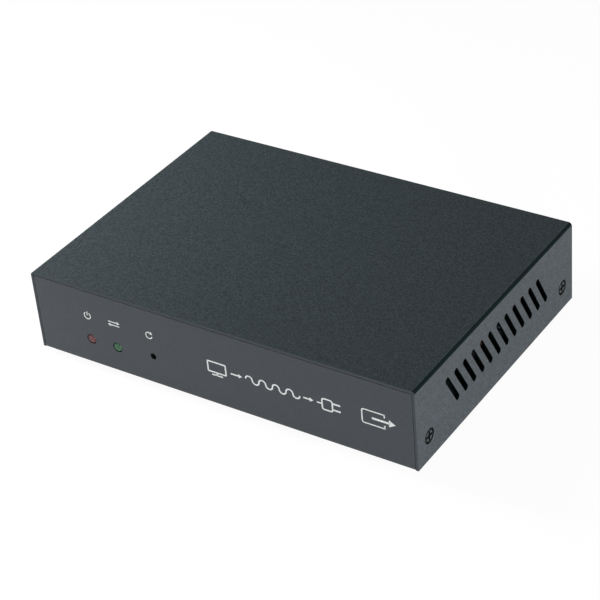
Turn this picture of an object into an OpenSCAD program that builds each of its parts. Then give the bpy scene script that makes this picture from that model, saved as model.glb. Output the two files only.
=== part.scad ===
// Video-over-mains extender in a folded sheet-metal case.
// X runs to the right as seen from the front, Y runs to the back, Z is up.
// The origin lies under the middle of the whole part, on the surface that its feet stand on.
// All lengths are in millimetres.

/* [Case] */
// Width of the case, measured over the cover
case_w = 150; // [146:1:160]
// Depth of the case, front plate to rear plate
case_d = 106.5; // [104:0.5:116]
// Height of the case, without its feet
case_h = 31.2; // [30.5:0.1:36]
// Thickness of the chassis sheet
pan_t = 1.0; // [0.8:0.1:1.2]
// Thickness of the cover sheet
cover_t = 1.0; // [0.8:0.1:1.2]
// Clearance between the cover and the chassis all round
cover_gap = 0.2; // [0.1:0.05:0.3]
// Height of the cover's lower edges above the case's underside
cover_rise = 0.5; // [0.2:0.1:1]
// Outer radius of the bends between the cover's top and sides
cover_bend_r = 1.3; // [1.2:0.1:3]
// Outer radius of the bends between the floor and the end plates
pan_bend_r = 1.3; // [1.2:0.1:2]
// Height of the rubber feet
foot_h = 2.0; // [1:0.1:4]
// Diameter of the rubber feet
foot_d = 10; // [8:0.5:14]
// Distance of each foot's centre from the case's sides and ends
foot_inset = 14; // [12:0.5:20]

/* [Side vents] */
// Number of slanted slots in each side
vent_count = 12; // [6:1:14]
// Distance from one slot to the next
vent_pitch = 5.55; // [5:0.05:6]
// Width of a slot
vent_w = 2.2; // [1.6:0.1:3]
// Length of a slot from end to end
vent_l = 14.2; // [8:0.1:15]
// Lean of the slots from upright, with their tops towards the front
vent_lean = 30; // [0:1:40]
// Height of the slots' centres above the case's underside
vent_rise = 17.3; // [16.5:0.1:18.5]

/* [Cover screws] */
// Thread diameter of the countersunk screws
cover_screw_d = 2.5; // [2:0.5:3]
// Diameter of their heads
cover_head_d = 4.7; // [4.5:0.1:5.4]
// Length of the screws
cover_screw_l = 4; // [3.6:0.1:4.4]
// Distance of the screws from the front and the back of the case
cover_screw_inset = 7.5; // [7:0.1:9]
// Height of the screws above the case's underside
cover_screw_rise = 9.3; // [8:0.1:11]
// Width of the upright ears that take the screws
ear_w = 10; // [8:0.5:12]
// Height of the ears above the case's underside
ear_h = 14; // [13:0.5:15]

/* [Front plate] */
// Distance of the red lamp from the case's left side
power_lamp_x = 22.85; // [20:0.05:24]
// Distance of the green lamp from the case's left side
link_lamp_x = 33.9; // [32:0.05:38]
// Distance of the reset button from the case's left side
reset_x = 49; // [46:0.5:56]
// Height of the lamps above the main board
lamp_rise = 2.9; // [2.7:0.1:3.2]
// Height of the reset button above the main board
reset_rise = 4.1; // [3.9:0.1:4.6]
// Diameter of a lamp's lens
lamp_d = 3.4; // [3:0.1:3.5]
// Diameter of the holes that the lamps sit in
lamp_hole_d = 3.8; // [3.6:0.1:4.2]
// Diameter of the pin-hole in front of the reset button
reset_hole_d = 2.4; // [1.8:0.1:2.8]

/* [Boards] */
// Thickness of both circuit boards
board_t = 1.6; // [1.2:0.2:2]
// Height of the standoffs under the boards
standoff_h = 5; // [4.5:0.1:5.5]
// Width of the supply board
supply_w = 51; // [49:1:52]
// Clearance between the two boards
boards_gap = 6.4; // [5:0.1:8]
// Clearance between the boards and the chassis sides
board_side_gap = 3.2; // [2.8:0.1:4]
// Clearance between the boards and the front plate
board_front_gap = 0.8; // [0.5:0.1:1.2]
// Clearance between the main board and the rear plate
board_rear_gap = 1.2; // [0.8:0.1:1.4]
// Distance of the board screws from the boards' edges
board_screw_inset = 4; // [3.5:0.1:5]

/* [Reset button] */
// Diameter of the button's plunger
button_d = 3.5; // [3:0.1:3.8]
// How far the button travels when it is pressed
button_travel = 0.25; // [0.2:0.05:0.4]
// Distance from the front plate's inside to the button's tip
button_setback = 1.2; // [0.8:0.1:2]
// Running clearance round the plunger
button_gap = 0.05; // [0.03:0.01:0.1]

/* [Rear sockets] */
// Distance of the video socket from the case's left side
video_x = 38; // [30:1:44]
// Width of the video socket's opening
video_w = 14; // [13.9:0.1:14.2]
// Height of the video socket's opening
video_h = 4.55; // [4.5:0.05:4.7]
// Depth of the video socket
video_depth = 11.5; // [11:0.1:12]
// How far the video socket stands out of the rear plate
video_proud = 0.8; // [0.3:0.1:1.2]
// Width of the mains inlet's flange
inlet_flange_w = 48; // [46:0.5:50]
// Height of the mains inlet's flange
inlet_flange_h = 22.4; // [21.5:0.1:24]
// Thickness of the mains inlet's flange
inlet_flange_t = 2.6; // [2.2:0.1:3]
// Distance between the mains inlet's two screws
inlet_screw_pitch = 40; // [39.5:0.5:40.5]
// How far the mains inlet's body reaches in behind the rear plate's face
inlet_reach = 16; // [15.5:0.1:17]

/* [Hidden] */

// How far every cut runs past the faces that it goes through
over = 1;
// Clearance round a screw or a pressed shank in its hole
fit_gap = 0.05;
// Clearance round a lead in its board hole, and round a board screw
lead_gap = 0.15;
board_hole_gap = 0.2;
// Clearance between an insert and the opening it goes through
panel_gap = 0.3;

// Levels and faces of the case
base_z = foot_h;
top_z = base_z + case_h;
floor_z = base_z + pan_t;
board_z = floor_z + standoff_h;
deck_z = board_z + board_t;
case_y = -inlet_flange_t / 2;
front_y = case_y - case_d / 2;
rear_y = case_y + case_d / 2;
front_in_y = front_y + pan_t;
rear_in_y = rear_y - pan_t;
left_x = -case_w / 2;
pan_w = case_w - 2 * (cover_t + cover_gap);
pan_h = case_h - cover_t - cover_gap;
// The end plates' upper corners follow the inside of the cover's bends
plate_corner_r = cover_bend_r - cover_t;

// Relief slots beside the ears, and the distance from an ear to its end plate
ear_relief = 0.8;
ear_start = cover_screw_inset - ear_w / 2;

// Straight rim of the countersunk heads, and the sinking of the heads below the sheet
head_rim = 0.15;
head_sink = 0.1;
// Width and depth of the stamped ring round the countersunk heads
head_gap = 0.4;
head_ring_depth = 0.5;
// Width, length and depth of the cross recess and depth of its pilot, as shares of the head's diameter
cross_share = [0.2, 0.78, 0.12, 0.31];

// Rounding of the feet's lower edge
foot_edge_r = 0.6;

// Extent of the two boards: the main board takes the width that the supply board leaves it
main_x = -pan_w / 2 + board_side_gap;
main_y = front_in_y + board_front_gap;
main_w = pan_w - 2 * board_side_gap - boards_gap - supply_w;
main_d = rear_in_y - board_rear_gap - main_y;
supply_x = main_x + main_w + boards_gap;
supply_y = main_y;
board_corner_r = 1.5;

// Standoffs: width across flats and pressed shank
standoff_af = 5;
standoff_shank_d = 4.2;
// Board screws: diameter, head diameter, head height and length
board_screw_d = 2.5;
board_head_d = 4.6;
board_head_h = 1.7;
board_screw_l = 5;

// Lamps: length of the lens, rim diameter and thickness, lead spacing and lead bend
lamp_rim_d = 4.2;
lamp_rim_t = 1;
lamp_edge_r = 0.5;
lamp_lead_pitch = 2.54;
lamp_lead_d = 0.5;
lamp_lead_run = 1.4;
lamp_lead_bend = 0.7;
// Lamp holders: width, depth, wall above the lens and gap to the front plate
holder_w = 5.4;
holder_depth = 3;
holder_wall = 0.8;
holder_gap = 1;
lamp_back_y = front_in_y + holder_gap + holder_depth;

// Reset switch: width, depth and height of its body, sheet of its frame
switch_body = [6.4, 3.3, 7];
switch_sheet = 0.3;
button_flange_d = 4.6;
button_flange_t = 0.6;
button_stem = 3;
dome_h = 0.5;
dome_t = 0.12;
// Clearance behind the pressed button, and round its flange
dome_clearance = 0.05;
chamber_gap = 0.3;
switch_arm_h = 5;
switch_leg_w = 1;
button_y = front_in_y + button_setback;
switch_y = button_y + button_stem;
chamber_depth = button_flange_t + button_travel + dome_clearance + dome_h + dome_t;
chamber_d = button_flange_d + 2 * chamber_gap;
reset_px = left_x + reset_x;
reset_z = deck_z + reset_rise;
lamp_z = deck_z + lamp_rise;

// Video socket: sheet, chamfer of its lower corners, upright part of its sides
video_sheet = 0.4;
video_chamfer = 1.9;
video_side = 2.5;
tongue_w = 11.8;
tongue_t = 1.9;
tongue_setback = 1;
video_block = 3.6;
upper_contacts = 10;
lower_contacts = 9;
contact_w = 0.35;
contact_t = 0.15;
contact_pitch = 1;
contact_foot = 0.9;
contact_setback = 0.6;
tail_out = 0.5;
spring_w = 1.6;
spring_l = 4;
spring_cut = 0.4;
spring_x = 3.4;
spring_start = 2;
shell_leg_w = 1.5;
shell_leg_inset = [2.9, 9.6];
video_px = left_x + video_x;
video_mouth_y = rear_y + video_proud;
video_top_z = deck_z + 2 * video_sheet + video_h;

// Mains inlet: width, height and depth of the hollow for the connector, width and height of the body,
// chamfer of its two upper corners, flange corners, blades and tabs
inlet_hollow = [24.4, 16.4, 15.6];
inlet_body = [27, 19.6];
inlet_chamfer = 5.2;
inlet_flange_r = 3;
blade = [2, 4];
blade_pitch = 7;
blade_offset = 2;
blade_setback = 1;
tab = [0.8, 4.8];
tab_l = 8;
inlet_px = supply_x + supply_w / 2;
inlet_z = base_z + case_h / 2;
inlet_face_y = rear_y + inlet_flange_t;
inlet_back_y = rear_y - inlet_reach;
inlet_screw_d = 3;
inlet_head_d = 5.5;
inlet_screw_l = 8;
nut_af = 5.5;
nut_h = 2.4;

// Push-on sleeves and wires
sleeve = [3.2, 6.6];
sleeve_l = 13.5;
sleeve_gap = 0.1;
sleeve_standoff = 0.3;
wire_d = 2.2;
wire_bend = 4;
wire_grip = 4;
wire_run = 6;
sleeve_end_y = inlet_back_y - sleeve_standoff - sleeve_l;
drop_y = sleeve_end_y - wire_run;
live_z = inlet_z - blade_offset;
earth_z = inlet_z + blade_offset;
// The supply board ends a margin behind the holes that the mains wires go down through
drop_margin = 2.8;
supply_d = drop_y + drop_margin - supply_y;

// Earth point on the floor
stud_d = 4;
stud_h = 8;
stud_offset = 23;
stud_setback = 18;
stud_x = inlet_px - stud_offset;
stud_y = rear_y - stud_setback;
earth_nut_af = 7;
earth_nut_h = 3.2;
lug_t = 0.8;
lug_d = 9;
lug_reach = 7;
lug_barrel_d = 3.8;
lug_barrel_h = 6;
earth_run = 5;
earth_cross_y = sleeve_end_y - earth_run;

// Places across the supply board, as shares of its width
fuse_share = 0.36;
filter_share = 0.30;
bridge_share = 0.25;
transformer_share = 0.36;
output_shares = [0.30, 0.46];
choke_share = 0.76;
bulk_share = 0.72;
heatsink_share = 0.79;
isolation_share = 0.66;
supply_header_share = 0.075;
// Places on the main board, as shares of its width and depth
processor_share = [0.42, 0.56];
memory_shares = [0.48, 0.64];
line_chip_share = [0.50, 0.26];
coupling_share = [0.80, 0.30];
crystal_shares = [[0.13, 0.20], [0.13, 0.30]];
coil_shares = [[0.86, 0.50], [0.86, 0.62], [0.86, 0.74]];
smoothing_shares = [[0.73, 0.52], [0.73, 0.63], [0.73, 0.74], [0.13, 0.82]];
main_header_share = 0.94;
// Clearance between the headers and the board screws in front of them, and beside the memory chips
header_screw_gap = 1.5;
memory_gap = 1;

// Fuse: tube, caps and clips
fuse_d = 5;
fuse_l = 20;
fuse_wall = 0.6;
fuse_cap_l = 5;
fuse_cap_t = 0.3;
fuse_wire_d = 0.3;
fuse_rise = 4.2;
clip_t = 0.3;
clip_w = 4;
clip_gap = 0.05;
clip_mouth = 3.6;
clip_foot = 5;
// Sizes of the boxes and cans on the supply board
filter_size = [18, 8, 14.5];
filter_pitch = 15;
filter_corner_r = 0.8;
bridge_size = [14.5, 3.6, 11];
bridge_chamfer = 2.5;
bridge_pins = 4;
bridge_pitch = 3.81;
can_edge_r = 0.6;
can_groove_r = 0.5;
can_groove_rise = 2.5;
bulk_d = 15;
bulk_h = 20;
bulk_pitch = 7.5;
output_d = 8;
output_h = 12;
output_pitch = 3.5;
isolation_d = 9;
isolation_t = 4;
isolation_edge_r = 1.2;
isolation_pitch = 7.5;
// Line choke: ring core and its two coils
choke_core = [18, 4.5, 15];
choke_limb = 4.5;
choke_yoke = 4;
choke_coil_d = 7.5;
choke_turns = 7;
choke_base_h = 1;
choke_pitch = [13.5, 6];
// Transformer: core, bobbin and winding
core_size = [20, 20, 5.7];
core_limb = 3.4;
core_centre = 5.4;
core_yoke = 3.4;
core_lift = 5;
bobbin_wall = 0.8;
bobbin_gap = 0.2;
flange_size = [12.4, 12];
rail_w = 18;
rail_reach = 4;
rail_h = 3;
winding_gap = 0.15;
winding_size = [11.6, 11.2];
winding_r = 2;
transformer_pins = 5;
transformer_pitch = 3.75;
// Heatsink and transistor of the supply
sink_size = [19, 8, 17];
sink_plate = 2;
sink_fins = 6;
sink_fin_t = 1.1;
transistor_size = [10, 4.5, 15];
transistor_pins = 3;
transistor_pitch = 2.54;
transistor_hole_rise = 12;
sink_screw_d = 3;
sink_screw_l = 6;
sink_head_d = 5.5;
sink_head_h = 2;
// Headers, plugs and wires between the boards
header_size = [5.8, 12.4, 7];
header_wall = 0.8;
header_floor = 1.2;
plug_gap = 0.1;
plug_h = 8.5;
plug_pitch = 2.5;
plug_wires = 4;
link_wire_d = 1.3;
link_wire_rise = 6;
link_wire_bend = 3;
link_wire_grip = 3;
// Chips of the main board
processor_size = [23, 23, 0.7];
processor_cap = [19, 19, 1.1];
cooler_size = [28, 28, 9];
cooler_base = 2;
cooler_fins = 8;
cooler_fin_t = 1.2;
cooler_cross = 2;
cooler_corner_r = 0.6;
memory_size = [9, 13, 1.1];
line_chip_size = [14, 14, 1.4];
lead_lift = 0.1;
chip_lead_w = 0.3;
chip_lead_t = 0.15;
chip_lead_l = 1.2;
chip_lead_rise = 0.75;
chip_lead_pitch = 0.8;
chip_leads_a_side = 15;
coupling_size = [12, 11, 2];
coupling_top = [10, 9.5, 6];
coupling_pins = 4;
coupling_pitch = 2.5;
crystal_size = [11, 4.6, 3.4];
crystal_rim = 0.5;
crystal_rim_t = 0.4;
coil_base = [8, 8, 0.8];
coil_chamfer = 1.5;
coil_drum_d = 7.2;
coil_drum_h = 3.2;
coil_drum_edge = 0.5;
smoothing_base = [6.6, 6.6, 0.9];
smoothing_d = 6.3;
smoothing_h = 6.5;
smoothing_groove_rise = 1.4;
smoothing_groove_r = 0.3;
chip_part = [1.6, 0.8, 0.6];
chip_part_ring = 13;
chip_part_pitch = 3;
chip_parts_a_side = 8;
// Legs below the boards
leg_d = 0.7;
leg_stub = 1.2;

// Place on the main board for a pair of shares
function on_main(share) = [main_x + main_w * share.x, main_y + main_d * share.y];
// Place on the supply board for a share of its width and a distance from its front edge
function on_supply(share, y) = [supply_x + supply_w * share, supply_y + y];
// Sum of the first values of a list
function total(values, count) = count == 0 ? 0 : values[count - 1] + total(values, count - 1);
// Middles of parts of the given depths that stand one behind another in a room, all gaps being equal
function column(depths, room) =
    let (gap = (room - total(depths, len(depths))) / (len(depths) + 1))
    [for (i = [0 : len(depths) - 1]) (i + 1) * gap + total(depths, i) + depths[i] / 2];
// The four places that lie an inset from a board's edges
function corner_places(x, y, w, d, inset) =
    [for (i = [0, 1], j = [0, 1]) [x + inset + i * (w - 2 * inset), y + inset + j * (d - 2 * inset)]];
// Places in a row along X or along Y, centred on a point
function row_x(place, count, pitch) =
    [for (i = [0 : count - 1]) [place.x + (i - (count - 1) / 2) * pitch, place.y]];
function row_y(place, count, pitch) =
    [for (i = [0 : count - 1]) [place.x, place.y + (i - (count - 1) / 2) * pitch]];

main_screws = corner_places(main_x, main_y, main_w, main_d, board_screw_inset);
supply_screws = corner_places(supply_x, supply_y, supply_w, supply_d, board_screw_inset);
lamp_places = [left_x + power_lamp_x, left_x + link_lamp_x];
inlet_screw_places = [for (s = [-1, 1]) inlet_px + s * inlet_screw_pitch / 2];

// Left column of the supply board, from its front edge to the mains wires' holes
fuse_depth = fuse_d + 2 * (fuse_cap_t + clip_gap + clip_t);
left_column = column([output_d, core_size.y, bridge_size.y, filter_size.y, fuse_depth],
    drop_y - wire_d / 2 - supply_y);
output_places = [for (s = output_shares) on_supply(s, left_column[0])];
transformer_place = on_supply(transformer_share, left_column[1]);
bridge_place = on_supply(bridge_share, left_column[2]);
filter_place = on_supply(filter_share, left_column[3]);
fuse_place = on_supply(fuse_share, left_column[4]);

// Right column, from the front edge to the fuse
switch_depth = sink_head_h + transistor_size.y + sink_size.y;
right_column = column([isolation_t, switch_depth, bulk_d, choke_coil_d], left_column[4] - fuse_depth / 2);
isolation_place = on_supply(isolation_share, right_column[0]);
heatsink_place = on_supply(heatsink_share, right_column[1] + switch_depth / 2 - sink_size.y / 2);
transistor_place = [heatsink_place.x, heatsink_place.y - sink_size.y / 2 - transistor_size.y / 2];
bulk_place = on_supply(bulk_share, right_column[2]);
choke_place = on_supply(choke_share, right_column[3]);

// Headers of the wires between the boards, one behind a screw of each board
supply_header_place = on_supply(supply_header_share,
    board_screw_inset + board_head_d / 2 + header_screw_gap + header_size.y / 2);
main_header_place = [main_x + main_w * main_header_share, supply_header_place.y];

// Legs of the parts on the supply board
rail_y = core_size.y / 2 - rail_reach / 2;
supply_legs = concat(
    row_x(fuse_place, 2, fuse_l - fuse_cap_l),
    row_x(filter_place, 2, filter_pitch),
    corner_places(choke_place.x - choke_pitch.x / 2, choke_place.y - choke_pitch.y / 2,
        choke_pitch.x, choke_pitch.y, 0),
    row_x(bridge_place, bridge_pins, bridge_pitch),
    row_x(bulk_place, 2, bulk_pitch),
    row_x([transformer_place.x, transformer_place.y - rail_y], transformer_pins, transformer_pitch),
    row_x([transformer_place.x, transformer_place.y + rail_y], transformer_pins, transformer_pitch),
    row_x(transistor_place, transistor_pins, transistor_pitch),
    row_x(isolation_place, 2, isolation_pitch),
    [for (p = output_places) each row_x(p, 2, output_pitch)],
    row_y(supply_header_place, plug_wires, plug_pitch));

// Legs of the parts on the main board
coupling_place = on_main(coupling_share);
main_legs = concat(
    [for (s = [-1, 1]) each row_y([coupling_place.x + s * (coupling_size.x - coupling_pitch) / 2,
        coupling_place.y], coupling_pins, coupling_pitch)],
    [for (s = crystal_shares) each row_x(on_main(s), 2, crystal_size.y)],
    row_x([reset_px, switch_y + switch_sheet + switch_body.y / 2], 2, switch_body.x / 2),
    row_y(main_header_place, plug_wires, plug_pitch));
lamp_lead_y = lamp_back_y + lamp_rim_t + lamp_lead_run;
lamp_legs = [for (x = lamp_places) each row_x([x, lamp_lead_y], 2, lamp_lead_pitch)];
shell_legs = [for (s = [-1, 1], y = shell_leg_inset)
    [video_px + s * (video_w / 2 + video_sheet / 2), video_mouth_y - y]];
switch_legs = [for (s = [-1, 1])
    [reset_px + s * (switch_body.x / 2 + switch_sheet / 2), switch_y + switch_sheet + switch_body.y / 2]];
mains_drops = [for (s = [-1, 1]) [inlet_px + s * blade_pitch, drop_y]];

// A cylinder along Y from y to y + l
module rod_y(place, d, l) {
    translate([place.x, place.y, place.z]) rotate([-90, 0, 0]) cylinder(d = d, h = l, $fn = 48);
}

// A flat rectangle with round corners, of true arcs
module rounded(size, r) {
    square([size.x - 2 * r, size.y], center = true);
    square([size.x, size.y - 2 * r], center = true);
    for (i = [-1, 1], j = [-1, 1])
        translate([i * (size.x / 2 - r), j * (size.y / 2 - r)]) circle(r, $fn = 48);
}

// A flat slot with round ends, upright before it leans
module obround(w, l) {
    square([w, l - w], center = true);
    for (s = [-1, 1]) translate([0, s * (l - w) / 2]) circle(d = w, $fn = 48);
}

// A sheet folded over two round bends: a U of the given width, height, thickness and bend radius,
// open upwards, with its middle at the bottom on the origin
module folded_u(w, h, t, r) {
    intersection() {
        difference() {
            translate([0, h]) rounded([w, 2 * h], r);
            translate([0, h]) rounded([w - 2 * t, 2 * (h - t)], r - t);
        }
        translate([-w / 2 - over, -over]) square([w + 2 * over, h + over]);
    }
}

// A rotation and place that take X, Y and Z to the three given directions
module placed(a, b, place) {
    c = cross(a, b);
    multmatrix([[a.x, b.x, c.x, place.x], [a.y, b.y, c.y, place.y], [a.z, b.z, c.z, place.z], [0, 0, 0, 1]])
        children();
}

// A round wire that runs along corner points, each run square to the next, with round bends
module wire(points, d, bend) {
    last = len(points) - 1;
    dir = [for (i = [0 : last - 1]) (points[i + 1] - points[i]) / norm(points[i + 1] - points[i])];
    for (i = [0 : last - 1]) {
        u = dir[i];
        from = points[i] + (i == 0 ? 0 : bend) * u;
        to = points[i + 1] - (i == last - 1 ? 0 : bend) * u;
        side = [u.y, u.z, u.x];
        placed(side, cross(u, side), from) cylinder(d = d, h = norm(to - from), $fn = 24);
    }
    for (i = [1 : 1 : last - 1]) {
        u = dir[i - 1];
        v = dir[i];
        placed(-v, u, points[i] + bend * (v - u))
            rotate_extrude(angle = 90, $fn = 48) translate([bend, 0]) circle(d = d, $fn = 24);
    }
}

// Two crossed slots sunk into a head of the given diameter, whose top is at zero
module cross_recess(d) {
    for (a = [0, 90]) rotate(a) translate([0, 0, -d * cross_share[2]])
        linear_extrude(d) square([d * cross_share[1], d * cross_share[0]], center = true);
    rotate_extrude($fn = 32)
        polygon([[0, over], [d * cross_share[0], over], [d * cross_share[0], 0], [0, -d * cross_share[3]]]);
}

// A countersunk screw with its flat head at zero and its shank down
module countersunk_screw(d, head_d, l) {
    difference() {
        rotate_extrude($fn = 48) polygon([[0, 0], [head_d / 2, 0], [head_d / 2, -head_rim],
            [d / 2, -head_rim - (head_d - d) / 2], [d / 2, -l], [0, -l]]);
        cross_recess(head_d);
    }
}

// The hole for such a screw when its head is sunk: a ring, a cone just clear of the head's own, and
// the bore
module countersunk_hole(d, head_d, l) {
    seat = -head_sink - head_rim - fit_gap;
    rotate_extrude($fn = 48) polygon([[0, over], [head_d / 2 + head_gap, over],
        [head_d / 2 + head_gap, -head_ring_depth], [head_d / 2 - head_ring_depth - seat, -head_ring_depth],
        [d / 2 + fit_gap, seat - (head_d - d) / 2 + fit_gap], [d / 2 + fit_gap, -l], [0, -l]]);
}

// A domed pan head with its seat at zero, a cross recess and a shank down
module pan_screw(d, head_d, head_h, l) {
    difference() {
        union() {
            intersection() {
                cylinder(d = head_d, h = head_h, $fn = 48);
                translate([0, 0, head_h - head_d]) sphere(r = head_d, $fn = 96);
            }
            translate([0, 0, -l]) cylinder(d = d, h = l + head_h / 2, $fn = 32);
        }
        translate([0, 0, head_h]) cross_recess(head_d);
    }
}

// A hexagon nut with its corners turned down, and its bore
module hex_nut(af, h, d) {
    tip_r = af / 2 / cos(30);
    turned = tip_r - af / 2;
    difference() {
        intersection() {
            cylinder(r = tip_r, h = h, $fn = 6);
            rotate_extrude($fn = 48) polygon([[0, 0], [af / 2, 0], [tip_r, turned / 2],
                [tip_r, h - turned / 2], [af / 2, h], [0, h]]);
        }
        translate([0, 0, -over]) cylinder(r = d / 2 + fit_gap, h = h + 2 * over, $fn = 48);
    }
}

// Places the cover screws' axes: the head outwards, at the surface of both sides
module at_cover_screws(sink) {
    for (s = [-1, 1], y = [front_y + cover_screw_inset, rear_y - cover_screw_inset])
        translate([s * (case_w / 2 - sink), y, base_z + cover_screw_rise]) rotate([0, s * 90, 0]) children();
}

// Places the inlet screws' axes, with the head outwards at the flange's face
module at_inlet_screws(sink) {
    for (x = inlet_screw_places) translate([x, inlet_face_y - sink, inlet_z]) rotate([-90, 0, 0]) children();
}

// Outline of the video socket, grown evenly, with its wide side up and its top on the X axis
module video_outline(grow) {
    w = video_w / 2 + grow;
    slope = grow * tan(22.5);
    polygon([[-w, grow], [w, grow], [w, -video_side - slope],
        [w - video_chamfer, -video_side - video_chamfer - slope],
        [w - video_chamfer, -video_h - grow], [-w + video_chamfer, -video_h - grow],
        [-w + video_chamfer, -video_side - video_chamfer - slope], [-w, -video_side - slope]]);
}

// Upright outline of the mains inlet with both upper corners cut, centred
module inlet_outline(w, h, c) {
    polygon([[-w / 2, -h / 2], [w / 2, -h / 2], [w / 2, h / 2 - c], [w / 2 - c, h / 2],
        [-w / 2 + c, h / 2], [-w / 2, h / 2 - c]]);
}

// Extrudes an upright outline backwards (towards +Y) from y over a length
module upright(y, l) {
    translate([0, y + l, 0]) rotate([90, 0, 0]) linear_extrude(l) children();
}

// A can standing on the board, with a crimped groove and round edges
module can(d, h, edge, groove, rise) {
    difference() {
        rotate_extrude($fn = 64) {
            square([d / 2 - edge, h]);
            translate([0, edge]) square([d / 2, h - 2 * edge]);
            for (z = [edge, h - edge]) translate([d / 2 - edge, z]) circle(edge, $fn = 32);
        }
        rotate_extrude($fn = 64) translate([d / 2 + groove / 2, rise]) circle(groove, $fn = 24);
    }
}

// Chassis: floor, front plate and rear plate folded from one sheet, with four upright ears
module chassis() color([0.30, 0.32, 0.34]) difference() {
    union() {
        difference() {
            translate([0, case_y, base_z]) rotate([90, 0, 90])
                linear_extrude(pan_w, center = true) folded_u(case_d, pan_h, pan_t, pan_bend_r);
            for (s = [-1, 1], y = [front_y + ear_start - ear_relief, rear_y - ear_start - ear_w - ear_relief])
                translate([s * pan_w / 2 - pan_bend_r, y, base_z - over])
                    cube([2 * pan_bend_r, ear_w + 2 * ear_relief, pan_t + 2 * over]);
        }
        for (y = [front_y + ear_start + ear_w, rear_y - ear_start])
            translate([0, y, base_z]) rotate([90, 0, 0]) linear_extrude(ear_w) difference() {
                folded_u(pan_w, ear_h, pan_t, pan_bend_r);
                square([pan_w - 2 * pan_bend_r, 2 * pan_t], center = true);
            }
    }
    for (s = [0, 1]) mirror([s, 0, 0]) translate([pan_w / 2 - plate_corner_r, rear_y + over,
        base_z + pan_h - plate_corner_r]) rotate([90, 0, 0]) linear_extrude(case_d + 2 * over) difference() {
            square(plate_corner_r + over);
            circle(plate_corner_r, $fn = 48);
        }
    at_cover_screws(0) countersunk_hole(cover_screw_d, cover_head_d, cover_screw_l + over);
    for (x = lamp_places) rod_y([x, front_y - over, lamp_z], lamp_hole_d, pan_t + 2 * over);
    rod_y([reset_px, front_y - over, reset_z], reset_hole_d, pan_t + 2 * over);
    translate([video_px, 0, video_top_z - video_sheet]) upright(rear_in_y - over, pan_t + 2 * over)
        video_outline(video_sheet + panel_gap);
    translate([inlet_px, 0, inlet_z]) upright(rear_in_y - over, pan_t + 2 * over)
        inlet_outline(inlet_body.x + 2 * panel_gap, inlet_body.y + 2 * panel_gap, inlet_chamfer);
    for (x = inlet_screw_places)
        rod_y([x, rear_in_y - over, inlet_z], inlet_screw_d + 2 * fit_gap, pan_t + 2 * over);
    for (p = concat(main_screws, supply_screws)) translate([p.x, p.y, base_z - over])
        cylinder(d = standoff_shank_d + 2 * fit_gap, h = pan_t + 2 * over, $fn = 48);
    translate([stud_x, stud_y, base_z - over])
        cylinder(d = stud_d + 2 * fit_gap, h = pan_t + 2 * over, $fn = 48);
}

// Cover: top and both sides folded from one sheet, with slanted vents and countersunk holes
module cover() color([0.25, 0.27, 0.29]) difference() {
    translate([0, rear_y, top_z]) rotate([90, 0, 0]) mirror([0, 1])
        linear_extrude(case_d) folded_u(case_w, case_h - cover_rise, cover_t, cover_bend_r);
    translate([0, case_y, base_z + vent_rise]) rotate([90, 0, 90])
        linear_extrude(case_w + 2 * over, center = true)
        for (i = [0 : vent_count - 1])
            translate([(i - (vent_count - 1) / 2) * vent_pitch, 0]) rotate(vent_lean) obround(vent_w, vent_l);
    at_cover_screws(0) countersunk_hole(cover_screw_d, cover_head_d, cover_screw_l + over);
}

// Four countersunk screws through the cover into the ears
module cover_screws() color([0.1, 0.1, 0.11])
    at_cover_screws(head_sink) countersunk_screw(cover_screw_d, cover_head_d, cover_screw_l);

// Four round feet stuck under the floor
module rubber_feet() color([0.08, 0.08, 0.08])
    for (p = corner_places(left_x, front_y, case_w, case_d, foot_inset)) translate([p.x, p.y, 0])
        rotate_extrude($fn = 64) {
            square([foot_d / 2 - foot_edge_r, foot_h]);
            translate([0, foot_edge_r]) square([foot_d / 2, foot_h - foot_edge_r]);
            translate([foot_d / 2 - foot_edge_r, foot_edge_r]) circle(foot_edge_r, $fn = 32);
        }

// Hexagon standoffs pressed into the floor
module board_standoffs() color([0.75, 0.75, 0.77])
    for (p = concat(main_screws, supply_screws)) translate([p.x, p.y, 0]) difference() {
        union() {
            translate([0, 0, floor_z]) cylinder(r = standoff_af / 2 / cos(30), h = standoff_h, $fn = 6);
            translate([0, 0, base_z]) cylinder(d = standoff_shank_d, h = pan_t, $fn = 48);
        }
        translate([0, 0, base_z - over])
            cylinder(d = board_screw_d + 2 * fit_gap, h = pan_t + standoff_h + 2 * over, $fn = 48);
    }

// Pan-head screws that hold the boards down
module board_screws() color([0.8, 0.8, 0.82])
    for (p = concat(main_screws, supply_screws)) translate([p.x, p.y, deck_z])
        pan_screw(board_screw_d, board_head_d, board_head_h, board_screw_l);

// A board with its screw holes and the holes for the legs that go through it
module board(x, y, w, d, screws, legs) {
    translate([0, 0, board_z]) linear_extrude(board_t) difference() {
        translate([x + w / 2, y + d / 2]) rounded([w, d], board_corner_r);
        for (p = screws) translate([p.x, p.y]) circle(d = board_screw_d + 2 * board_hole_gap, $fn = 48);
        for (p = legs) translate([p.x, p.y]) circle(d = leg_d + 2 * lead_gap, $fn = 24);
        children();
    }
}

// Main board: lamps and reset at its front, video socket at its rear
module main_board() color([0.05, 0.3, 0.16])
    board(main_x, main_y, main_w, main_d, main_screws, concat(main_legs, lamp_legs)) {
        for (p = shell_legs) translate([p.x, p.y]) circle(d = shell_leg_w + 2 * lead_gap, $fn = 24);
        for (p = switch_legs) translate([p.x, p.y]) circle(d = switch_leg_w + 2 * lead_gap, $fn = 24);
    }

// Supply board: mains side at the rear, low voltage at the front
module supply_board() color([0.03, 0.12, 0.09])
    board(supply_x, supply_y, supply_w, supply_d, supply_screws, supply_legs)
        for (p = mains_drops) translate([p.x, p.y]) circle(d = wire_d + lead_gap, $fn = 32);

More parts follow.
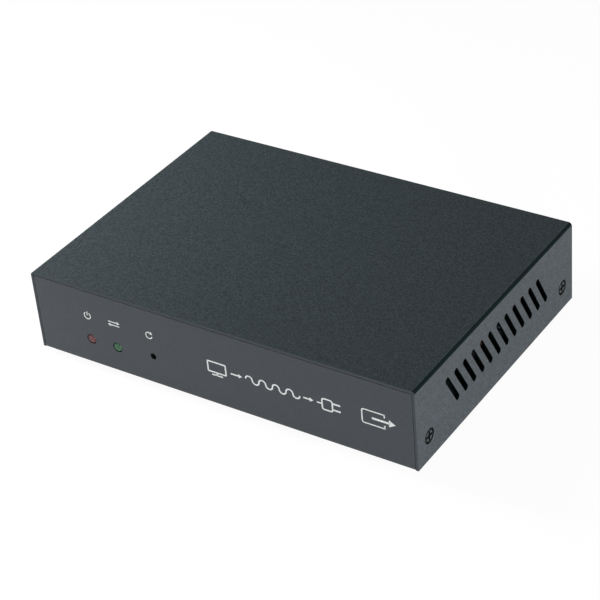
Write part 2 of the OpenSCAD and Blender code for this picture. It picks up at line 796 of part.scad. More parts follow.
// A lamp lying on its side: a lens with a round edge and a rim at its back
module lamp(x) {
    body_l = lamp_back_y - front_y;
    translate([x, front_y, lamp_z]) rotate([-90, 0, 0]) rotate_extrude($fn = 48) {
        square([lamp_d / 2 - lamp_edge_r, body_l]);
        translate([0, lamp_edge_r]) square([lamp_d / 2, body_l - lamp_edge_r]);
        translate([lamp_d / 2 - lamp_edge_r, lamp_edge_r]) circle(lamp_edge_r, $fn = 32);
        translate([0, body_l]) square([lamp_rim_d / 2, lamp_rim_t]);
    }
}

module power_lamp() color([0.6, 0.15, 0.15]) lamp(lamp_places[0]);

module link_lamp() color([0.15, 0.5, 0.25]) lamp(lamp_places[1]);

// Black spacers that carry the lamps on the board's edge
module lamp_holders() color([0.07, 0.07, 0.07])
    for (x = lamp_places) difference() {
        translate([x - holder_w / 2, front_in_y + holder_gap, deck_z])
            cube([holder_w, holder_depth, lamp_rise + lamp_d / 2 + holder_wall]);
        rod_y([x, front_in_y + holder_gap - over, lamp_z], lamp_d + 2 * fit_gap, holder_depth + 2 * over);
    }

// Reset button: a plunger with a flange that the frame keeps in
module reset_button() color([0.12, 0.12, 0.12]) {
    rod_y([reset_px, button_y, reset_z], button_d, button_stem + switch_sheet + button_flange_t);
    rod_y([reset_px, switch_y + switch_sheet, reset_z], button_flange_d, button_flange_t);
}

// Block of the reset switch, with the round chamber that the button works in
module reset_switch_body() color([0.09, 0.09, 0.09]) difference() {
    translate([reset_px - switch_body.x / 2, switch_y + switch_sheet, deck_z])
        cube(switch_body);
    rod_y([reset_px, switch_y + switch_sheet - over, reset_z], chamber_d, chamber_depth + over);
}

// Sheet frame over the switch's front and sides, with a leg at each side
module reset_switch_frame() color([0.78, 0.78, 0.8]) {
    outer_w = switch_body.x + 2 * switch_sheet;
    difference() {
        translate([reset_px - outer_w / 2, switch_y, deck_z]) cube([outer_w, switch_sheet, switch_body.z]);
        rod_y([reset_px, switch_y - over, reset_z], button_d + 2 * button_gap, switch_sheet + 2 * over);
    }
    for (p = switch_legs) {
        translate([p.x - switch_sheet / 2, switch_y + switch_sheet, deck_z + switch_body.z - switch_arm_h])
            cube([switch_sheet, switch_body.y, switch_arm_h]);
        translate([p.x - switch_sheet / 2, p.y - switch_leg_w / 2, board_z - leg_stub])
            cube([switch_sheet, switch_leg_w, board_t + leg_stub + switch_body.z / 2]);
    }
}

// Snap dome at the back of the chamber, which returns the button
module reset_switch_dome() color([0.85, 0.85, 0.87]) {
    rim_r = button_flange_d / 2;
    dome_r = (rim_r * rim_r + dome_h * dome_h) / (2 * dome_h);
    translate([reset_px, switch_y + switch_sheet + chamber_depth, reset_z]) rotate([90, 0, 0])
        rotate_extrude($fn = 64) intersection() {
            translate([0, dome_h - dome_r]) difference() {
                circle(dome_r + dome_t, $fn = 256);
                circle(dome_r, $fn = 256);
            }
            square([rim_r, dome_h + dome_t]);
        }
}

// Drawn shell of the video socket, with spring tongues in its top and legs at its sides
module video_socket_shell() color([0.8, 0.8, 0.82]) {
    difference() {
        translate([video_px, 0, video_top_z - video_sheet]) difference() {
            upright(video_mouth_y - video_depth, video_depth) video_outline(video_sheet);
            upright(video_mouth_y - video_depth - over, video_depth + 2 * over) video_outline(0);
        }
        for (s = [-1, 1]) translate([video_px + s * spring_x, video_mouth_y - spring_start - spring_l / 2,
            video_top_z - video_sheet - over]) linear_extrude(video_sheet + 2 * over) difference() {
                square([spring_w + 2 * spring_cut, spring_l], center = true);
                translate([0, -spring_cut]) square([spring_w, spring_l], center = true);
            }
    }
    for (p = shell_legs) translate([p.x - video_sheet / 2, p.y - shell_leg_w / 2, board_z - leg_stub])
        cube([video_sheet, shell_leg_w, video_top_z - video_sheet - video_side - board_z + leg_stub]);
}

// Bent contact of the video socket, as an upright outline in Y and Z: a strip along the tongue,
// a tail down behind the block and a foot on the board
module video_contact(x, strip_z, tail_y) {
    front = video_mouth_y - tongue_setback - contact_setback;
    translate([x - contact_w / 2, 0, 0]) rotate([90, 0, 90]) linear_extrude(contact_w)
        polygon([[front, strip_z], [front, strip_z + contact_t], [tail_y - contact_t, strip_z + contact_t],
            [tail_y - contact_t, deck_z + contact_t], [tail_y - contact_foot, deck_z + contact_t],
            [tail_y - contact_foot, deck_z], [tail_y, deck_z], [tail_y, strip_z]]);
}

tongue_z = video_top_z - video_sheet - video_h / 2;
video_back_y = video_mouth_y - video_depth;

// Contacts in two rows, above the tongue and under it
module video_socket_contacts() color([0.85, 0.7, 0.35]) {
    for (p = row_x([video_px, 0], upper_contacts, contact_pitch))
        video_contact(p.x, tongue_z + tongue_t / 2, video_back_y - 2 * tail_out);
    for (p = row_x([video_px, 0], lower_contacts, contact_pitch))
        video_contact(p.x, tongue_z - tongue_t / 2 - contact_t, video_back_y - tail_out);
}

// Moulded block and tongue that carry the contacts
module video_socket_insulator() color([0.1, 0.1, 0.1]) difference() {
    union() {
        translate([video_px, 0, video_top_z - video_sheet])
            upright(video_back_y, video_block) video_outline(0);
        translate([video_px - tongue_w / 2, video_back_y, tongue_z - tongue_t / 2])
            cube([tongue_w, video_depth - tongue_setback, tongue_t]);
    }
    for (p = row_x([video_px, 0], upper_contacts, contact_pitch))
        translate([p.x - contact_w / 2, video_back_y - over, tongue_z + tongue_t / 2])
            cube([contact_w, video_block + 2 * over, contact_t]);
    for (p = row_x([video_px, 0], lower_contacts, contact_pitch))
        translate([p.x - contact_w / 2, video_back_y - over, tongue_z - tongue_t / 2 - contact_t])
            cube([contact_w, video_block + 2 * over, contact_t]);
}

// Places of the three blades: live and neutral below, earth above
blade_places = [[-blade_pitch, -blade_offset], [0, blade_offset], [blade_pitch, -blade_offset]];

// Moulded mains inlet: flange, body and the hollow that a connector plugs into
module mains_inlet() color([0.06, 0.06, 0.06]) difference() {
    translate([inlet_px, 0, inlet_z]) {
        upright(rear_y, inlet_flange_t) rounded([inlet_flange_w, inlet_flange_h], inlet_flange_r);
        upright(inlet_back_y, inlet_reach) inlet_outline(inlet_body.x, inlet_body.y, inlet_chamfer);
    }
    translate([inlet_px, 0, inlet_z]) upright(inlet_face_y - inlet_hollow.z, inlet_hollow.z + over)
        inlet_outline(inlet_hollow.x, inlet_hollow.y, inlet_chamfer);
    for (b = blade_places)
        translate([inlet_px + b.x - blade.x / 2, inlet_back_y - over, inlet_z + b.y - blade.y / 2])
            cube([blade.x, inlet_reach, blade.y]);
    at_inlet_screws(0) countersunk_hole(inlet_screw_d, inlet_head_d, inlet_screw_l);
}

// Three blades, each with a flat tab behind the body
module inlet_blades() color([0.75, 0.72, 0.6])
    for (b = blade_places) translate([inlet_px + b.x, 0, inlet_z + b.y]) {
        translate([-blade.x / 2, inlet_back_y, 0]) rotate([90, 0, 90]) linear_extrude(blade.x)
            polygon([[0, -blade.y / 2], [0, blade.y / 2],
                [inlet_face_y - blade_setback - inlet_back_y - blade.x / 2, blade.y / 2],
                [inlet_face_y - blade_setback - inlet_back_y, blade.y / 2 - blade.x / 2],
                [inlet_face_y - blade_setback - inlet_back_y, blade.x / 2 - blade.y / 2],
                [inlet_face_y - blade_setback - inlet_back_y - blade.x / 2, -blade.y / 2]]);
        translate([-tab.x / 2, inlet_back_y - tab_l, -tab.y / 2]) cube([tab.x, tab_l, tab.y]);
    }

module inlet_screws() color([0.1, 0.1, 0.11])
    at_inlet_screws(head_sink) countersunk_screw(inlet_screw_d, inlet_head_d, inlet_screw_l);

module inlet_nuts() color([0.8, 0.8, 0.82])
    for (x = inlet_screw_places) translate([x, rear_in_y, inlet_z]) rotate([90, 0, 0])
        hex_nut(nut_af, nut_h, inlet_screw_d);

// Insulated push-on sleeves over the tabs, with a bore at the end for the wire
module wire_sleeves() color([0.85, 0.85, 0.82])
    for (b = blade_places) translate([inlet_px + b.x, 0, inlet_z + b.y]) difference() {
        upright(sleeve_end_y, sleeve_l) rounded(sleeve, sleeve.x / 3);
        translate([-tab.x / 2 - sleeve_gap, sleeve_end_y + wire_grip, -tab.y / 2 - sleeve_gap])
            cube([tab.x + 2 * sleeve_gap, sleeve_l, tab.y + 2 * sleeve_gap]);
        rod_y([0, sleeve_end_y - over, 0], wire_d + 2 * fit_gap, wire_grip + over);
    }

// A mains wire from its sleeve forwards and down through the supply board
module mains_wire(x) {
    wire([[x, sleeve_end_y + wire_grip, live_z], [x, drop_y, live_z], [x, drop_y, board_z - leg_stub]],
        wire_d, wire_bend);
}

module live_wire() color([0.35, 0.2, 0.12]) mains_wire(mains_drops[0].x);

module neutral_wire() color([0.1, 0.25, 0.6]) mains_wire(mains_drops[1].x);

// Earth wire: from its sleeve across to the earth point and down into the lug's barrel
module earth_wire() color([0.45, 0.65, 0.15])
    wire([[inlet_px, sleeve_end_y + wire_grip, earth_z], [inlet_px, earth_cross_y, earth_z],
        [stud_x, earth_cross_y, earth_z], [stud_x, stud_y - lug_reach, earth_z],
        [stud_x, stud_y - lug_reach, floor_z + lug_t]], wire_d, wire_bend);

// Threaded stud pressed into the floor
module earth_stud() color([0.8, 0.8, 0.82])
    translate([stud_x, stud_y, base_z]) cylinder(d = stud_d, h = pan_t + stud_h, $fn = 48);

// Ring lug with an upright barrel for the earth wire
module earth_lug() color([0.8, 0.75, 0.6]) translate([stud_x, stud_y, floor_z]) difference() {
    union() {
        cylinder(d = lug_d, h = lug_t, $fn = 48);
        translate([-lug_barrel_d / 2, -lug_reach, 0]) cube([lug_barrel_d, lug_reach, lug_t]);
        translate([0, -lug_reach, 0]) cylinder(d = lug_barrel_d, h = lug_t + lug_barrel_h, $fn = 48);
    }
    translate([0, 0, -over]) cylinder(d = stud_d + 2 * fit_gap, h = lug_t + 2 * over, $fn = 48);
    translate([0, -lug_reach, lug_t]) cylinder(d = wire_d + 2 * fit_gap, h = lug_barrel_h + over, $fn = 48);
}

module earth_nut() color([0.8, 0.8, 0.82])
    translate([stud_x, stud_y, floor_z + lug_t]) hex_nut(earth_nut_af, earth_nut_h, stud_d);

// The fuse's axis: a part drawn upright lies along X in the clips
module fuse_axis() {
    translate([fuse_place.x, fuse_place.y, deck_z + fuse_rise]) rotate([0, 90, 0]) children();
}

module fuse_glass() color([0.8, 0.85, 0.85, 0.5]) fuse_axis() difference() {
    cylinder(d = fuse_d, h = fuse_l - 2 * fuse_cap_t, center = true, $fn = 48);
    cylinder(d = fuse_d - 2 * fuse_wall, h = fuse_l + over, center = true, $fn = 48);
}

// Two caps on the tube's ends, joined by the thin fuse wire
module fuse_caps() color([0.8, 0.78, 0.7]) fuse_axis() {
    for (s = [0, 1]) mirror([0, 0, s]) translate([0, 0, fuse_l / 2 - fuse_cap_l]) difference() {
        cylinder(d = fuse_d + 2 * fuse_cap_t, h = fuse_cap_l, $fn = 48);
        translate([0, 0, -over]) cylinder(d = fuse_d, h = fuse_cap_l - fuse_cap_t + over, $fn = 48);
    }
    cylinder(d = fuse_wire_d, h = fuse_l - 2 * fuse_cap_t, center = true, $fn = 24);
}

// Spring clips that hold the fuse by its caps
module fuse_clips() color([0.8, 0.78, 0.7]) {
    clip_r = fuse_d / 2 + fuse_cap_t + clip_gap;
    for (p = row_x(fuse_place, 2, fuse_l - fuse_cap_l)) {
        translate([p.x - clip_w / 2, p.y, deck_z]) rotate([90, 0, 90]) linear_extrude(clip_w) {
            difference() {
                translate([0, fuse_rise]) circle(clip_r + clip_t, $fn = 64);
                translate([0, fuse_rise]) circle(clip_r, $fn = 64);
                translate([-clip_mouth / 2, fuse_rise]) square([clip_mouth, 2 * clip_r]);
            }
            translate([-clip_t, 0]) square([2 * clip_t, fuse_rise - clip_r]);
            translate([-clip_foot / 2, 0]) square([clip_foot, clip_t]);
        }
    }
}

module filter_capacitor() color([0.85, 0.7, 0.2]) translate([filter_place.x, filter_place.y, deck_z])
    linear_extrude(filter_size.z) rounded([filter_size.x, filter_size.y], filter_corner_r);

// Ring core of the line choke on its base
module line_choke_core() color([0.2, 0.2, 0.22]) translate([choke_place.x, choke_place.y, deck_z]) {
    translate([-choke_core.x / 2, -choke_coil_d / 2, 0]) cube([choke_core.x, choke_coil_d, choke_base_h]);
    difference() {
        translate([-choke_core.x / 2, -choke_core.y / 2, choke_base_h]) cube(choke_core);
        translate([-choke_core.x / 2 + choke_limb, -choke_core.y / 2 - over, choke_base_h + choke_yoke])
            cube([choke_core.x - 2 * choke_limb, choke_core.y + 2 * over, choke_core.z - 2 * choke_yoke]);
    }
}

// Two coils on the choke's limbs, each a stack of turns round a square hole
module line_choke_coils() color([0.65, 0.35, 0.15]) {
    room = choke_core.z - 2 * choke_yoke;
    turn_pitch = room / choke_turns;
    mean_r = choke_coil_d / 2 - turn_pitch / 2;
    for (s = [-1, 1]) translate([choke_place.x + s * (choke_core.x - choke_limb) / 2, choke_place.y,
        deck_z + choke_base_h + choke_yoke]) difference() {
            rotate_extrude($fn = 48) {
                square([mean_r, room]);
                for (i = [0 : choke_turns - 1])
                    translate([mean_r, (i + 1 / 2) * turn_pitch]) circle(d = turn_pitch, $fn = 24);
            }
            translate([-choke_limb / 2, -choke_core.y / 2, -over])
                cube([choke_limb, choke_core.y, room + 2 * over]);
        }
}

// Bridge rectifier: a flat block with one corner cut
module bridge_rectifier() color([0.08, 0.08, 0.08])
    translate([bridge_place.x, bridge_place.y + bridge_size.y / 2, deck_z]) rotate([90, 0, 0])
        linear_extrude(bridge_size.y) polygon([[-bridge_size.x / 2, 0], [bridge_size.x / 2, 0],
            [bridge_size.x / 2, bridge_size.z], [-bridge_size.x / 2 + bridge_chamfer, bridge_size.z],
            [-bridge_size.x / 2, bridge_size.z - bridge_chamfer]]);

module bulk_capacitor() color([0.12, 0.14, 0.3]) translate([bulk_place.x, bulk_place.y, deck_z])
    can(bulk_d, bulk_h, can_edge_r, can_groove_r, can_groove_rise);

module output_capacitors() color([0.12, 0.14, 0.3])
    for (p = output_places) translate([p.x, p.y, deck_z])
        can(output_d, output_h, can_edge_r, can_groove_r, can_groove_rise);

// Disc capacitor that bridges the mains side and the low-voltage side
module isolation_capacitor() color([0.15, 0.35, 0.65])
    translate([isolation_place.x, isolation_place.y + isolation_t / 2, deck_z + isolation_d / 2])
        rotate([90, 0, 0]) rotate_extrude($fn = 64) {
            square([isolation_d / 2 - isolation_edge_r, isolation_t]);
            translate([0, isolation_edge_r]) square([isolation_d / 2, isolation_t - 2 * isolation_edge_r]);
            for (z = [isolation_edge_r, isolation_t - isolation_edge_r])
                translate([isolation_d / 2 - isolation_edge_r, z]) circle(isolation_edge_r, $fn = 32);
        }

// Window of the core, its middle height, and the bobbin's tube round the centre limb
window_l = core_size.y - 2 * core_yoke;
core_mid_z = core_lift + core_size.z / 2;
bobbin_tube = [core_centre + 2 * (bobbin_gap + bobbin_wall), core_size.z + 2 * (bobbin_gap + bobbin_wall)];

// Two E cores closed into one frame, lying flat round the bobbin
module transformer_core() color([0.25, 0.25, 0.27])
    translate([transformer_place.x, transformer_place.y, deck_z + core_lift])
        linear_extrude(core_size.z) difference() {
            square([core_size.x, core_size.y], center = true);
            for (s = [-1, 1]) translate([s * (core_size.x / 2 + core_centre / 2 - core_limb) / 2, 0])
                square([core_size.x / 2 - core_limb - core_centre / 2, window_l], center = true);
        }

// Bobbin: a square tube on the centre limb, two flanges, and a pin rail under each end
module transformer_bobbin() color([0.1, 0.1, 0.1])
    translate([transformer_place.x, transformer_place.y, deck_z]) {
        spool_l = window_l - 2 * bobbin_gap;
        difference() {
            union() {
                translate([0, 0, core_mid_z]) {
                    upright(-spool_l / 2, spool_l) square(bobbin_tube, center = true);
                    for (y = [-spool_l / 2, spool_l / 2 - bobbin_wall])
                        upright(y, bobbin_wall) square(flange_size, center = true);
                }
            }
            translate([0, 0, core_mid_z]) upright(-spool_l / 2 - over, spool_l + 2 * over)
                square([core_centre + 2 * bobbin_gap, core_size.z + 2 * bobbin_gap], center = true);
        }
        for (s = [-1, 1]) translate([0, s * rail_y, 0]) {
            translate([-rail_w / 2, -rail_reach / 2, 0]) cube([rail_w, rail_reach, rail_h]);
            translate([-core_centre, s > 0 ? -rail_reach / 2 : rail_reach / 2 - bobbin_wall, 0])
                cube([2 * core_centre, bobbin_wall, core_lift - bobbin_gap]);
        }
    }

// Taped winding between the bobbin's flanges
module transformer_winding() color([0.85, 0.75, 0.25])
    translate([transformer_place.x, transformer_place.y, deck_z + core_mid_z]) {
        wind_l = window_l - 2 * bobbin_gap - 2 * bobbin_wall - 2 * winding_gap;
        difference() {
            upright(-wind_l / 2, wind_l) rounded(winding_size, winding_r);
            upright(-wind_l / 2 - over, wind_l + 2 * over) square(bobbin_tube, center = true);
        }
    }

// Finned heatsink that stands behind the switching transistor
module switch_heatsink() color([0.08, 0.08, 0.09])
    translate([heatsink_place.x, heatsink_place.y, deck_z]) difference() {
        linear_extrude(sink_size.z) {
            translate([-sink_size.x / 2, -sink_size.y / 2]) square([sink_size.x, sink_plate]);
            for (i = [0 : sink_fins - 1])
                translate([-sink_size.x / 2 + i * (sink_size.x - sink_fin_t) / (sink_fins - 1),
                    -sink_size.y / 2]) square([sink_fin_t, sink_size.y]);
        }
        rod_y([0, -sink_size.y / 2 - over, transistor_hole_rise],
            sink_screw_d + 2 * fit_gap, sink_plate + 2 * over);
    }

module switch_transistor() color([0.07, 0.07, 0.07]) difference() {
    front = transistor_place.y - transistor_size.y / 2;
    translate([transistor_place.x - transistor_size.x / 2, front, deck_z]) cube(transistor_size);
    rod_y([transistor_place.x, front - over, deck_z + transistor_hole_rise],
        sink_screw_d + 2 * fit_gap, transistor_size.y + 2 * over);
}

module heatsink_screw() color([0.8, 0.8, 0.82])
    translate([transistor_place.x, transistor_place.y - transistor_size.y / 2, deck_z + transistor_hole_rise])
        rotate([90, 0, 0]) pan_screw(sink_screw_d, sink_head_d, sink_head_h, sink_screw_l);

link_places = [main_header_place, supply_header_place];

// Upright headers, one on each board, open at the top
module board_headers() color([0.9, 0.88, 0.82])
    for (p = link_places) translate([p.x, p.y, deck_z]) difference() {
        linear_extrude(header_size.z) square([header_size.x, header_size.y], center = true);
        translate([0, 0, header_floor]) linear_extrude(header_size.z)
            square([header_size.x - 2 * header_wall, header_size.y - 2 * header_wall], center = true);
    }

// Plugs in the headers, with a bore for each wire
module harness_plugs() color([0.92, 0.9, 0.85])
    for (p = link_places) difference() {
        translate([p.x, p.y, deck_z + header_floor]) linear_extrude(plug_h)
            square([header_size.x - 2 * header_wall - 2 * plug_gap,
                header_size.y - 2 * header_wall - 2 * plug_gap], center = true);
        for (q = row_y(p, plug_wires, plug_pitch))
            translate([q.x, q.y, deck_z + header_floor + plug_h - link_wire_grip])
                cylinder(d = link_wire_d + 2 * fit_gap, h = link_wire_grip + over, $fn = 24);
    }

// Four wires that arch over the gap between the two boards
module harness_wires() color([0.6, 0.1, 0.1]) {
    plug_top = deck_z + header_floor + plug_h;
    for (i = [0 : plug_wires - 1]) {
        a = row_y(link_places[0], plug_wires, plug_pitch)[i];
        b = row_y(link_places[1], plug_wires, plug_pitch)[i];
        wire([[a.x, a.y, plug_top - link_wire_grip], [a.x, a.y, plug_top + link_wire_rise],
            [b.x, a.y, plug_top + link_wire_rise], [b.x, a.y, plug_top - link_wire_grip]],
            link_wire_d, link_wire_bend);
    }
}

module processor() color([0.12, 0.3, 0.16]) {
    p = on_main(processor_share);
    translate([p.x, p.y, deck_z]) {
        linear_extrude(processor_size.z) square([processor_size.x, processor_size.y], center = true);
        linear_extrude(processor_size.z + processor_cap.z)
            rounded([processor_cap.x, processor_cap.y], cooler_corner_r);
    }
}

// Finned cooler on the processor, with two grooves across its fins
module processor_heatsink() color([0.75, 0.76, 0.78]) {
    p = on_main(processor_share);
    translate([p.x, p.y, deck_z + processor_size.z + processor_cap.z]) difference() {
        union() {
            linear_extrude(cooler_base) rounded([cooler_size.x, cooler_size.y], cooler_corner_r);
            for (i = [0 : cooler_fins - 1])
                translate([-cooler_size.x / 2 + i * (cooler_size.x - cooler_fin_t) / (cooler_fins - 1),
                    -cooler_size.y / 2, 0]) cube([cooler_fin_t, cooler_size.y, cooler_size.z]);
        }
        for (s = [-1, 1])
            translate([-cooler_size.x / 2 - over, s * cooler_size.y / 6 - cooler_cross / 2, cooler_base])
            cube([cooler_size.x + 2 * over, cooler_cross, cooler_size.z]);
    }
}

// Two memory chips to the left of the processor's small parts
module memory_chips() color([0.07, 0.07, 0.08]) {
    x = on_main(processor_share).x - chip_part_ring - chip_part.x / 2 - memory_gap - memory_size.x / 2;
    for (s = memory_shares) translate([x, main_y + main_d * s, deck_z])
        linear_extrude(memory_size.z) square([memory_size.x, memory_size.y], center = true);
}

// Line modem chip: its moulded body stands on its leads
module line_chip() color([0.07, 0.07, 0.08]) {
    p = on_main(line_chip_share);
    translate([p.x, p.y, deck_z + lead_lift]) linear_extrude(line_chip_size.z)
        square([line_chip_size.x, line_chip_size.y], center = true);
}

// Bent leads on the four sides of the line chip
module chip_leads() color([0.8, 0.8, 0.82]) {
    p = on_main(line_chip_share);
    for (a = [0 : 90 : 270], q = row_y([line_chip_size.x / 2, 0], chip_leads_a_side, chip_lead_pitch))
        translate([p.x, p.y, deck_z]) rotate(a) translate([q.x, q.y + chip_lead_w / 2, 0]) rotate([90, 0, 0])
            linear_extrude(chip_lead_w) polygon([[0, chip_lead_rise], [0, chip_lead_rise + chip_lead_t],
                [chip_lead_l / 2, chip_lead_rise + chip_lead_t], [chip_lead_l / 2, chip_lead_t],
                [chip_lead_l, chip_lead_t], [chip_lead_l, 0], [chip_lead_l / 2 - chip_lead_t, 0],
                [chip_lead_l / 2 - chip_lead_t, chip_lead_rise]]);
}

module coupling_transformer() color([0.12, 0.12, 0.13])
    translate([coupling_place.x, coupling_place.y, deck_z]) {
        linear_extrude(coupling_size.z) square([coupling_size.x, coupling_size.y], center = true);
        linear_extrude(coupling_size.z + coupling_top.z)
            rounded([coupling_top.x, coupling_top.y], cooler_corner_r);
    }

// Metal-cased crystals with a rim round their foot
module crystals() color([0.82, 0.82, 0.84])
    for (s = crystal_shares) translate([on_main(s).x, on_main(s).y, deck_z]) {
        linear_extrude(crystal_rim_t) rotate(90)
            obround(crystal_size.y + 2 * crystal_rim, crystal_size.x + 2 * crystal_rim);
        linear_extrude(crystal_size.z) rotate(90) obround(crystal_size.y, crystal_size.x);
    }

// Shielded coils: a square base with cut corners and a round drum
module power_coils() color([0.2, 0.2, 0.21])
    for (s = coil_shares) translate([on_main(s).x, on_main(s).y, deck_z]) {
        linear_extrude(coil_base.z) intersection() {
            square([coil_base.x, coil_base.y], center = true);
            rotate(45) square((coil_base.x + coil_base.y) / sqrt(2) - coil_chamfer, center = true);
        }
        can(coil_drum_d, coil_base.z + coil_drum_h, coil_drum_edge, smoothing_groove_r,
            coil_base.z + coil_drum_h / 2);
    }

// Surface-mounted cans on plastic bases
module smoothing_capacitors() color([0.78, 0.79, 0.8])
    for (s = smoothing_shares) translate([on_main(s).x, on_main(s).y, deck_z]) {
        linear_extrude(smoothing_base.z) square([smoothing_base.x, smoothing_base.y], center = true);
        translate([0, 0, smoothing_base.z])
            can(smoothing_d, smoothing_h, can_edge_r, smoothing_groove_r, smoothing_groove_rise);
    }

// Small chip parts in rows round the processor
module chip_parts() color([0.45, 0.36, 0.25]) {
    p = on_main(processor_share);
    for (a = [0 : 90 : 270], q = row_y([chip_part_ring, 0], chip_parts_a_side, chip_part_pitch))
        translate([p.x, p.y, deck_z]) rotate(a) translate([q.x, q.y, 0])
            linear_extrude(chip_part.z) square([chip_part.x, chip_part.y], center = true);
}

// Tinned legs of the parts that go through the boards, and the lamps' bent leads
module soldered_legs() color([0.8, 0.8, 0.82]) {
    for (p = concat(supply_legs, main_legs)) translate([p.x, p.y, board_z - leg_stub])
        cylinder(d = leg_d, h = board_t + leg_stub, $fn = 24);
    for (p = lamp_legs)
        wire([[p.x, lamp_back_y + lamp_rim_t, lamp_z], [p.x, p.y, lamp_z], [p.x, p.y, board_z - leg_stub]],
            lamp_lead_d, lamp_lead_bend);
}

chassis();
cover();
cover_screws();
rubber_feet();
board_standoffs();
board_screws();
main_board();
supply_board();
power_lamp();
link_lamp();
lamp_holders();
reset_button();
reset_switch_body();
reset_switch_frame();
reset_switch_dome();
video_socket_shell();
video_socket_insulator();
video_socket_contacts();
mains_inlet();
inlet_blades();
inlet_screws();
inlet_nuts();
live_wire();
neutral_wire();
earth_wire();
wire_sleeves();
earth_stud();
earth_lug();
earth_nut();
fuse_glass();
fuse_caps();
fuse_clips();
filter_capacitor();
line_choke_core();
line_choke_coils();
bridge_rectifier();
bulk_capacitor();
transformer_core();
transformer_bobbin();
transformer_winding();
switch_heatsink();
switch_transistor();
heatsink_screw();
output_capacitors();
isolation_capacitor();
board_headers();
harness_plugs();
harness_wires();
processor();
processor_heatsink();
memory_chips();
line_chip();
chip_leads();
coupling_transformer();
crystals();
power_coils();
smoothing_capacitors();
chip_parts();
soldered_legs();
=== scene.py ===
from math import cos, pi, radians, sin

import bmesh
import bpy
from mathutils import Matrix, Quaternion, Vector


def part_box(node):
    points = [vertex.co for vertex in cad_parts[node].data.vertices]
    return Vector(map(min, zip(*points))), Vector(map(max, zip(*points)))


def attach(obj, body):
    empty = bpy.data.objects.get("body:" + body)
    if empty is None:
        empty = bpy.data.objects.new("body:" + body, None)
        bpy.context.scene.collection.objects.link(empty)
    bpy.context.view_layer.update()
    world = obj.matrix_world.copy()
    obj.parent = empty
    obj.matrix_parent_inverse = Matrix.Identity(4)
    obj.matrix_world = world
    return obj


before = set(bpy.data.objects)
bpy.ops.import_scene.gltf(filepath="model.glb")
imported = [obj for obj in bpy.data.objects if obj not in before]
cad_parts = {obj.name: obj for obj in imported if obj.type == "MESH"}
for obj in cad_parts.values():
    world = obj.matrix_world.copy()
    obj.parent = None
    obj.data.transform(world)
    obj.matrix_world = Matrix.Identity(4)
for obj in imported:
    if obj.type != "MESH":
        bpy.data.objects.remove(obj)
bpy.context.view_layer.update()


# The view: a long lens from the front right, a little above, held a few degrees out of level.
# The frame of the picture is square.
camera = bpy.data.objects.new("camera", bpy.data.cameras.new("camera"))
bpy.context.scene.collection.objects.link(camera)
bpy.context.scene.camera = camera
camera_place = Vector((0.32583, -0.45683, 0.39064))
camera_aim = Vector((0.00342, -0.00946, 0.01760))
camera_roll = radians(-5.381)
camera.data.sensor_width = 36
camera.data.lens = 117.82
camera.data.clip_start = 0.01
camera.location = camera_place
camera.rotation_mode = "QUATERNION"
camera_turn = (camera_aim - camera_place).to_track_quat("-Z", "Y")
camera.rotation_quaternion = camera_turn @ Quaternion((0, 0, 1), camera_roll)


# Chassis: floor, front plate and rear plate, punched and folded from one steel sheet, then sprayed
# with a smooth satin grey-black enamel. The walls of the front plate's holes are painted near black,
# painted shade in the holes, and the edges are painted lighter, a painted highlight with a little wear.
class Shade:
    """One output of a material's node tree. Sums and products with it add Math nodes."""

    def __init__(self, tree, socket):
        self.tree = tree
        self.socket = socket

    def node(self, kind, inputs, output=0, **settings):
        """One output of a new node, with its settings made first and then its inputs set or linked."""
        made = self.tree.nodes.new("ShaderNode" + kind)
        for name, value in settings.items():
            setattr(made, name, value)
        for name, value in inputs.items():
            if isinstance(value, Shade):
                self.tree.links.new(value.socket, made.inputs[name])
            else:
                made.inputs[name].default_value = value
        return Shade(self.tree, made.outputs[output])

    def __add__(self, other):
        return self.node("Math", {0: self, 1: other}, operation="ADD")

    def __sub__(self, other):
        return self.node("Math", {0: self, 1: other}, operation="SUBTRACT")

    def __rsub__(self, other):
        return self.node("Math", {0: other, 1: self}, operation="SUBTRACT")

    def __mul__(self, other):
        return self.node("Math", {0: self, 1: other}, operation="MULTIPLY")

    __radd__ = __add__
    __rmul__ = __mul__

    def clear(self, low, high):
        """This value spread so that low becomes 0 and high becomes 1."""
        return self.node("MapRange", {"Value": self, "From Min": low, "From Max": high})

    def blend(self, dark, light):
        """A colour between two others, mixed by this value."""
        dark = dark if isinstance(dark, Shade) else (*dark, 1)
        light = light if isinstance(light, Shade) else (*light, 1)
        return self.node("Mix", {0: self, 6: dark, 7: light}, output=2, data_type="RGBA")

    def noise(self, size, detail=2.0, roughness=0.5, stretch=(1, 1, 1)):
        """Cloudy variation whose lumps are about the given size in metres."""
        scaled = self.node("VectorMath", {0: self, 1: stretch}, operation="MULTIPLY")
        inputs = {"Vector": scaled, "Scale": 1 / size, "Detail": detail, "Roughness": roughness}
        return self.node("TexNoise", inputs)

    def axes(self):
        """The X, Y and Z of this place or direction."""
        made = self.node("SeparateXYZ", {"Vector": self})
        return [Shade(self.tree, socket) for socket in made.socket.node.outputs]

    def size(self):
        """This value without its sign."""
        return self.node("Math", {0: self}, operation="ABSOLUTE")

    def apart(self, point):
        """How far this place lies from a fixed point."""
        return self.node("VectorMath", {0: self, 1: point}, output=1, operation="DISTANCE")

    def feed(self, socket):
        """Leads this output into a socket of the material's shader."""
        self.tree.links.new(self.socket, self.tree.nodes["Principled BSDF"].inputs[socket])


def finish(name, **constants):
    """A new material with fixed numbers on its shader, and the place on the object as a Shade."""
    material = bpy.data.materials.new(name)
    material.use_nodes = True
    shader = material.node_tree.nodes["Principled BSDF"]
    for socket, value in constants.items():
        shader.inputs[socket.replace("_", " ")].default_value = value
    place = Shade(material.node_tree, None).node("TexCoord", {}, output=3)
    return material, place


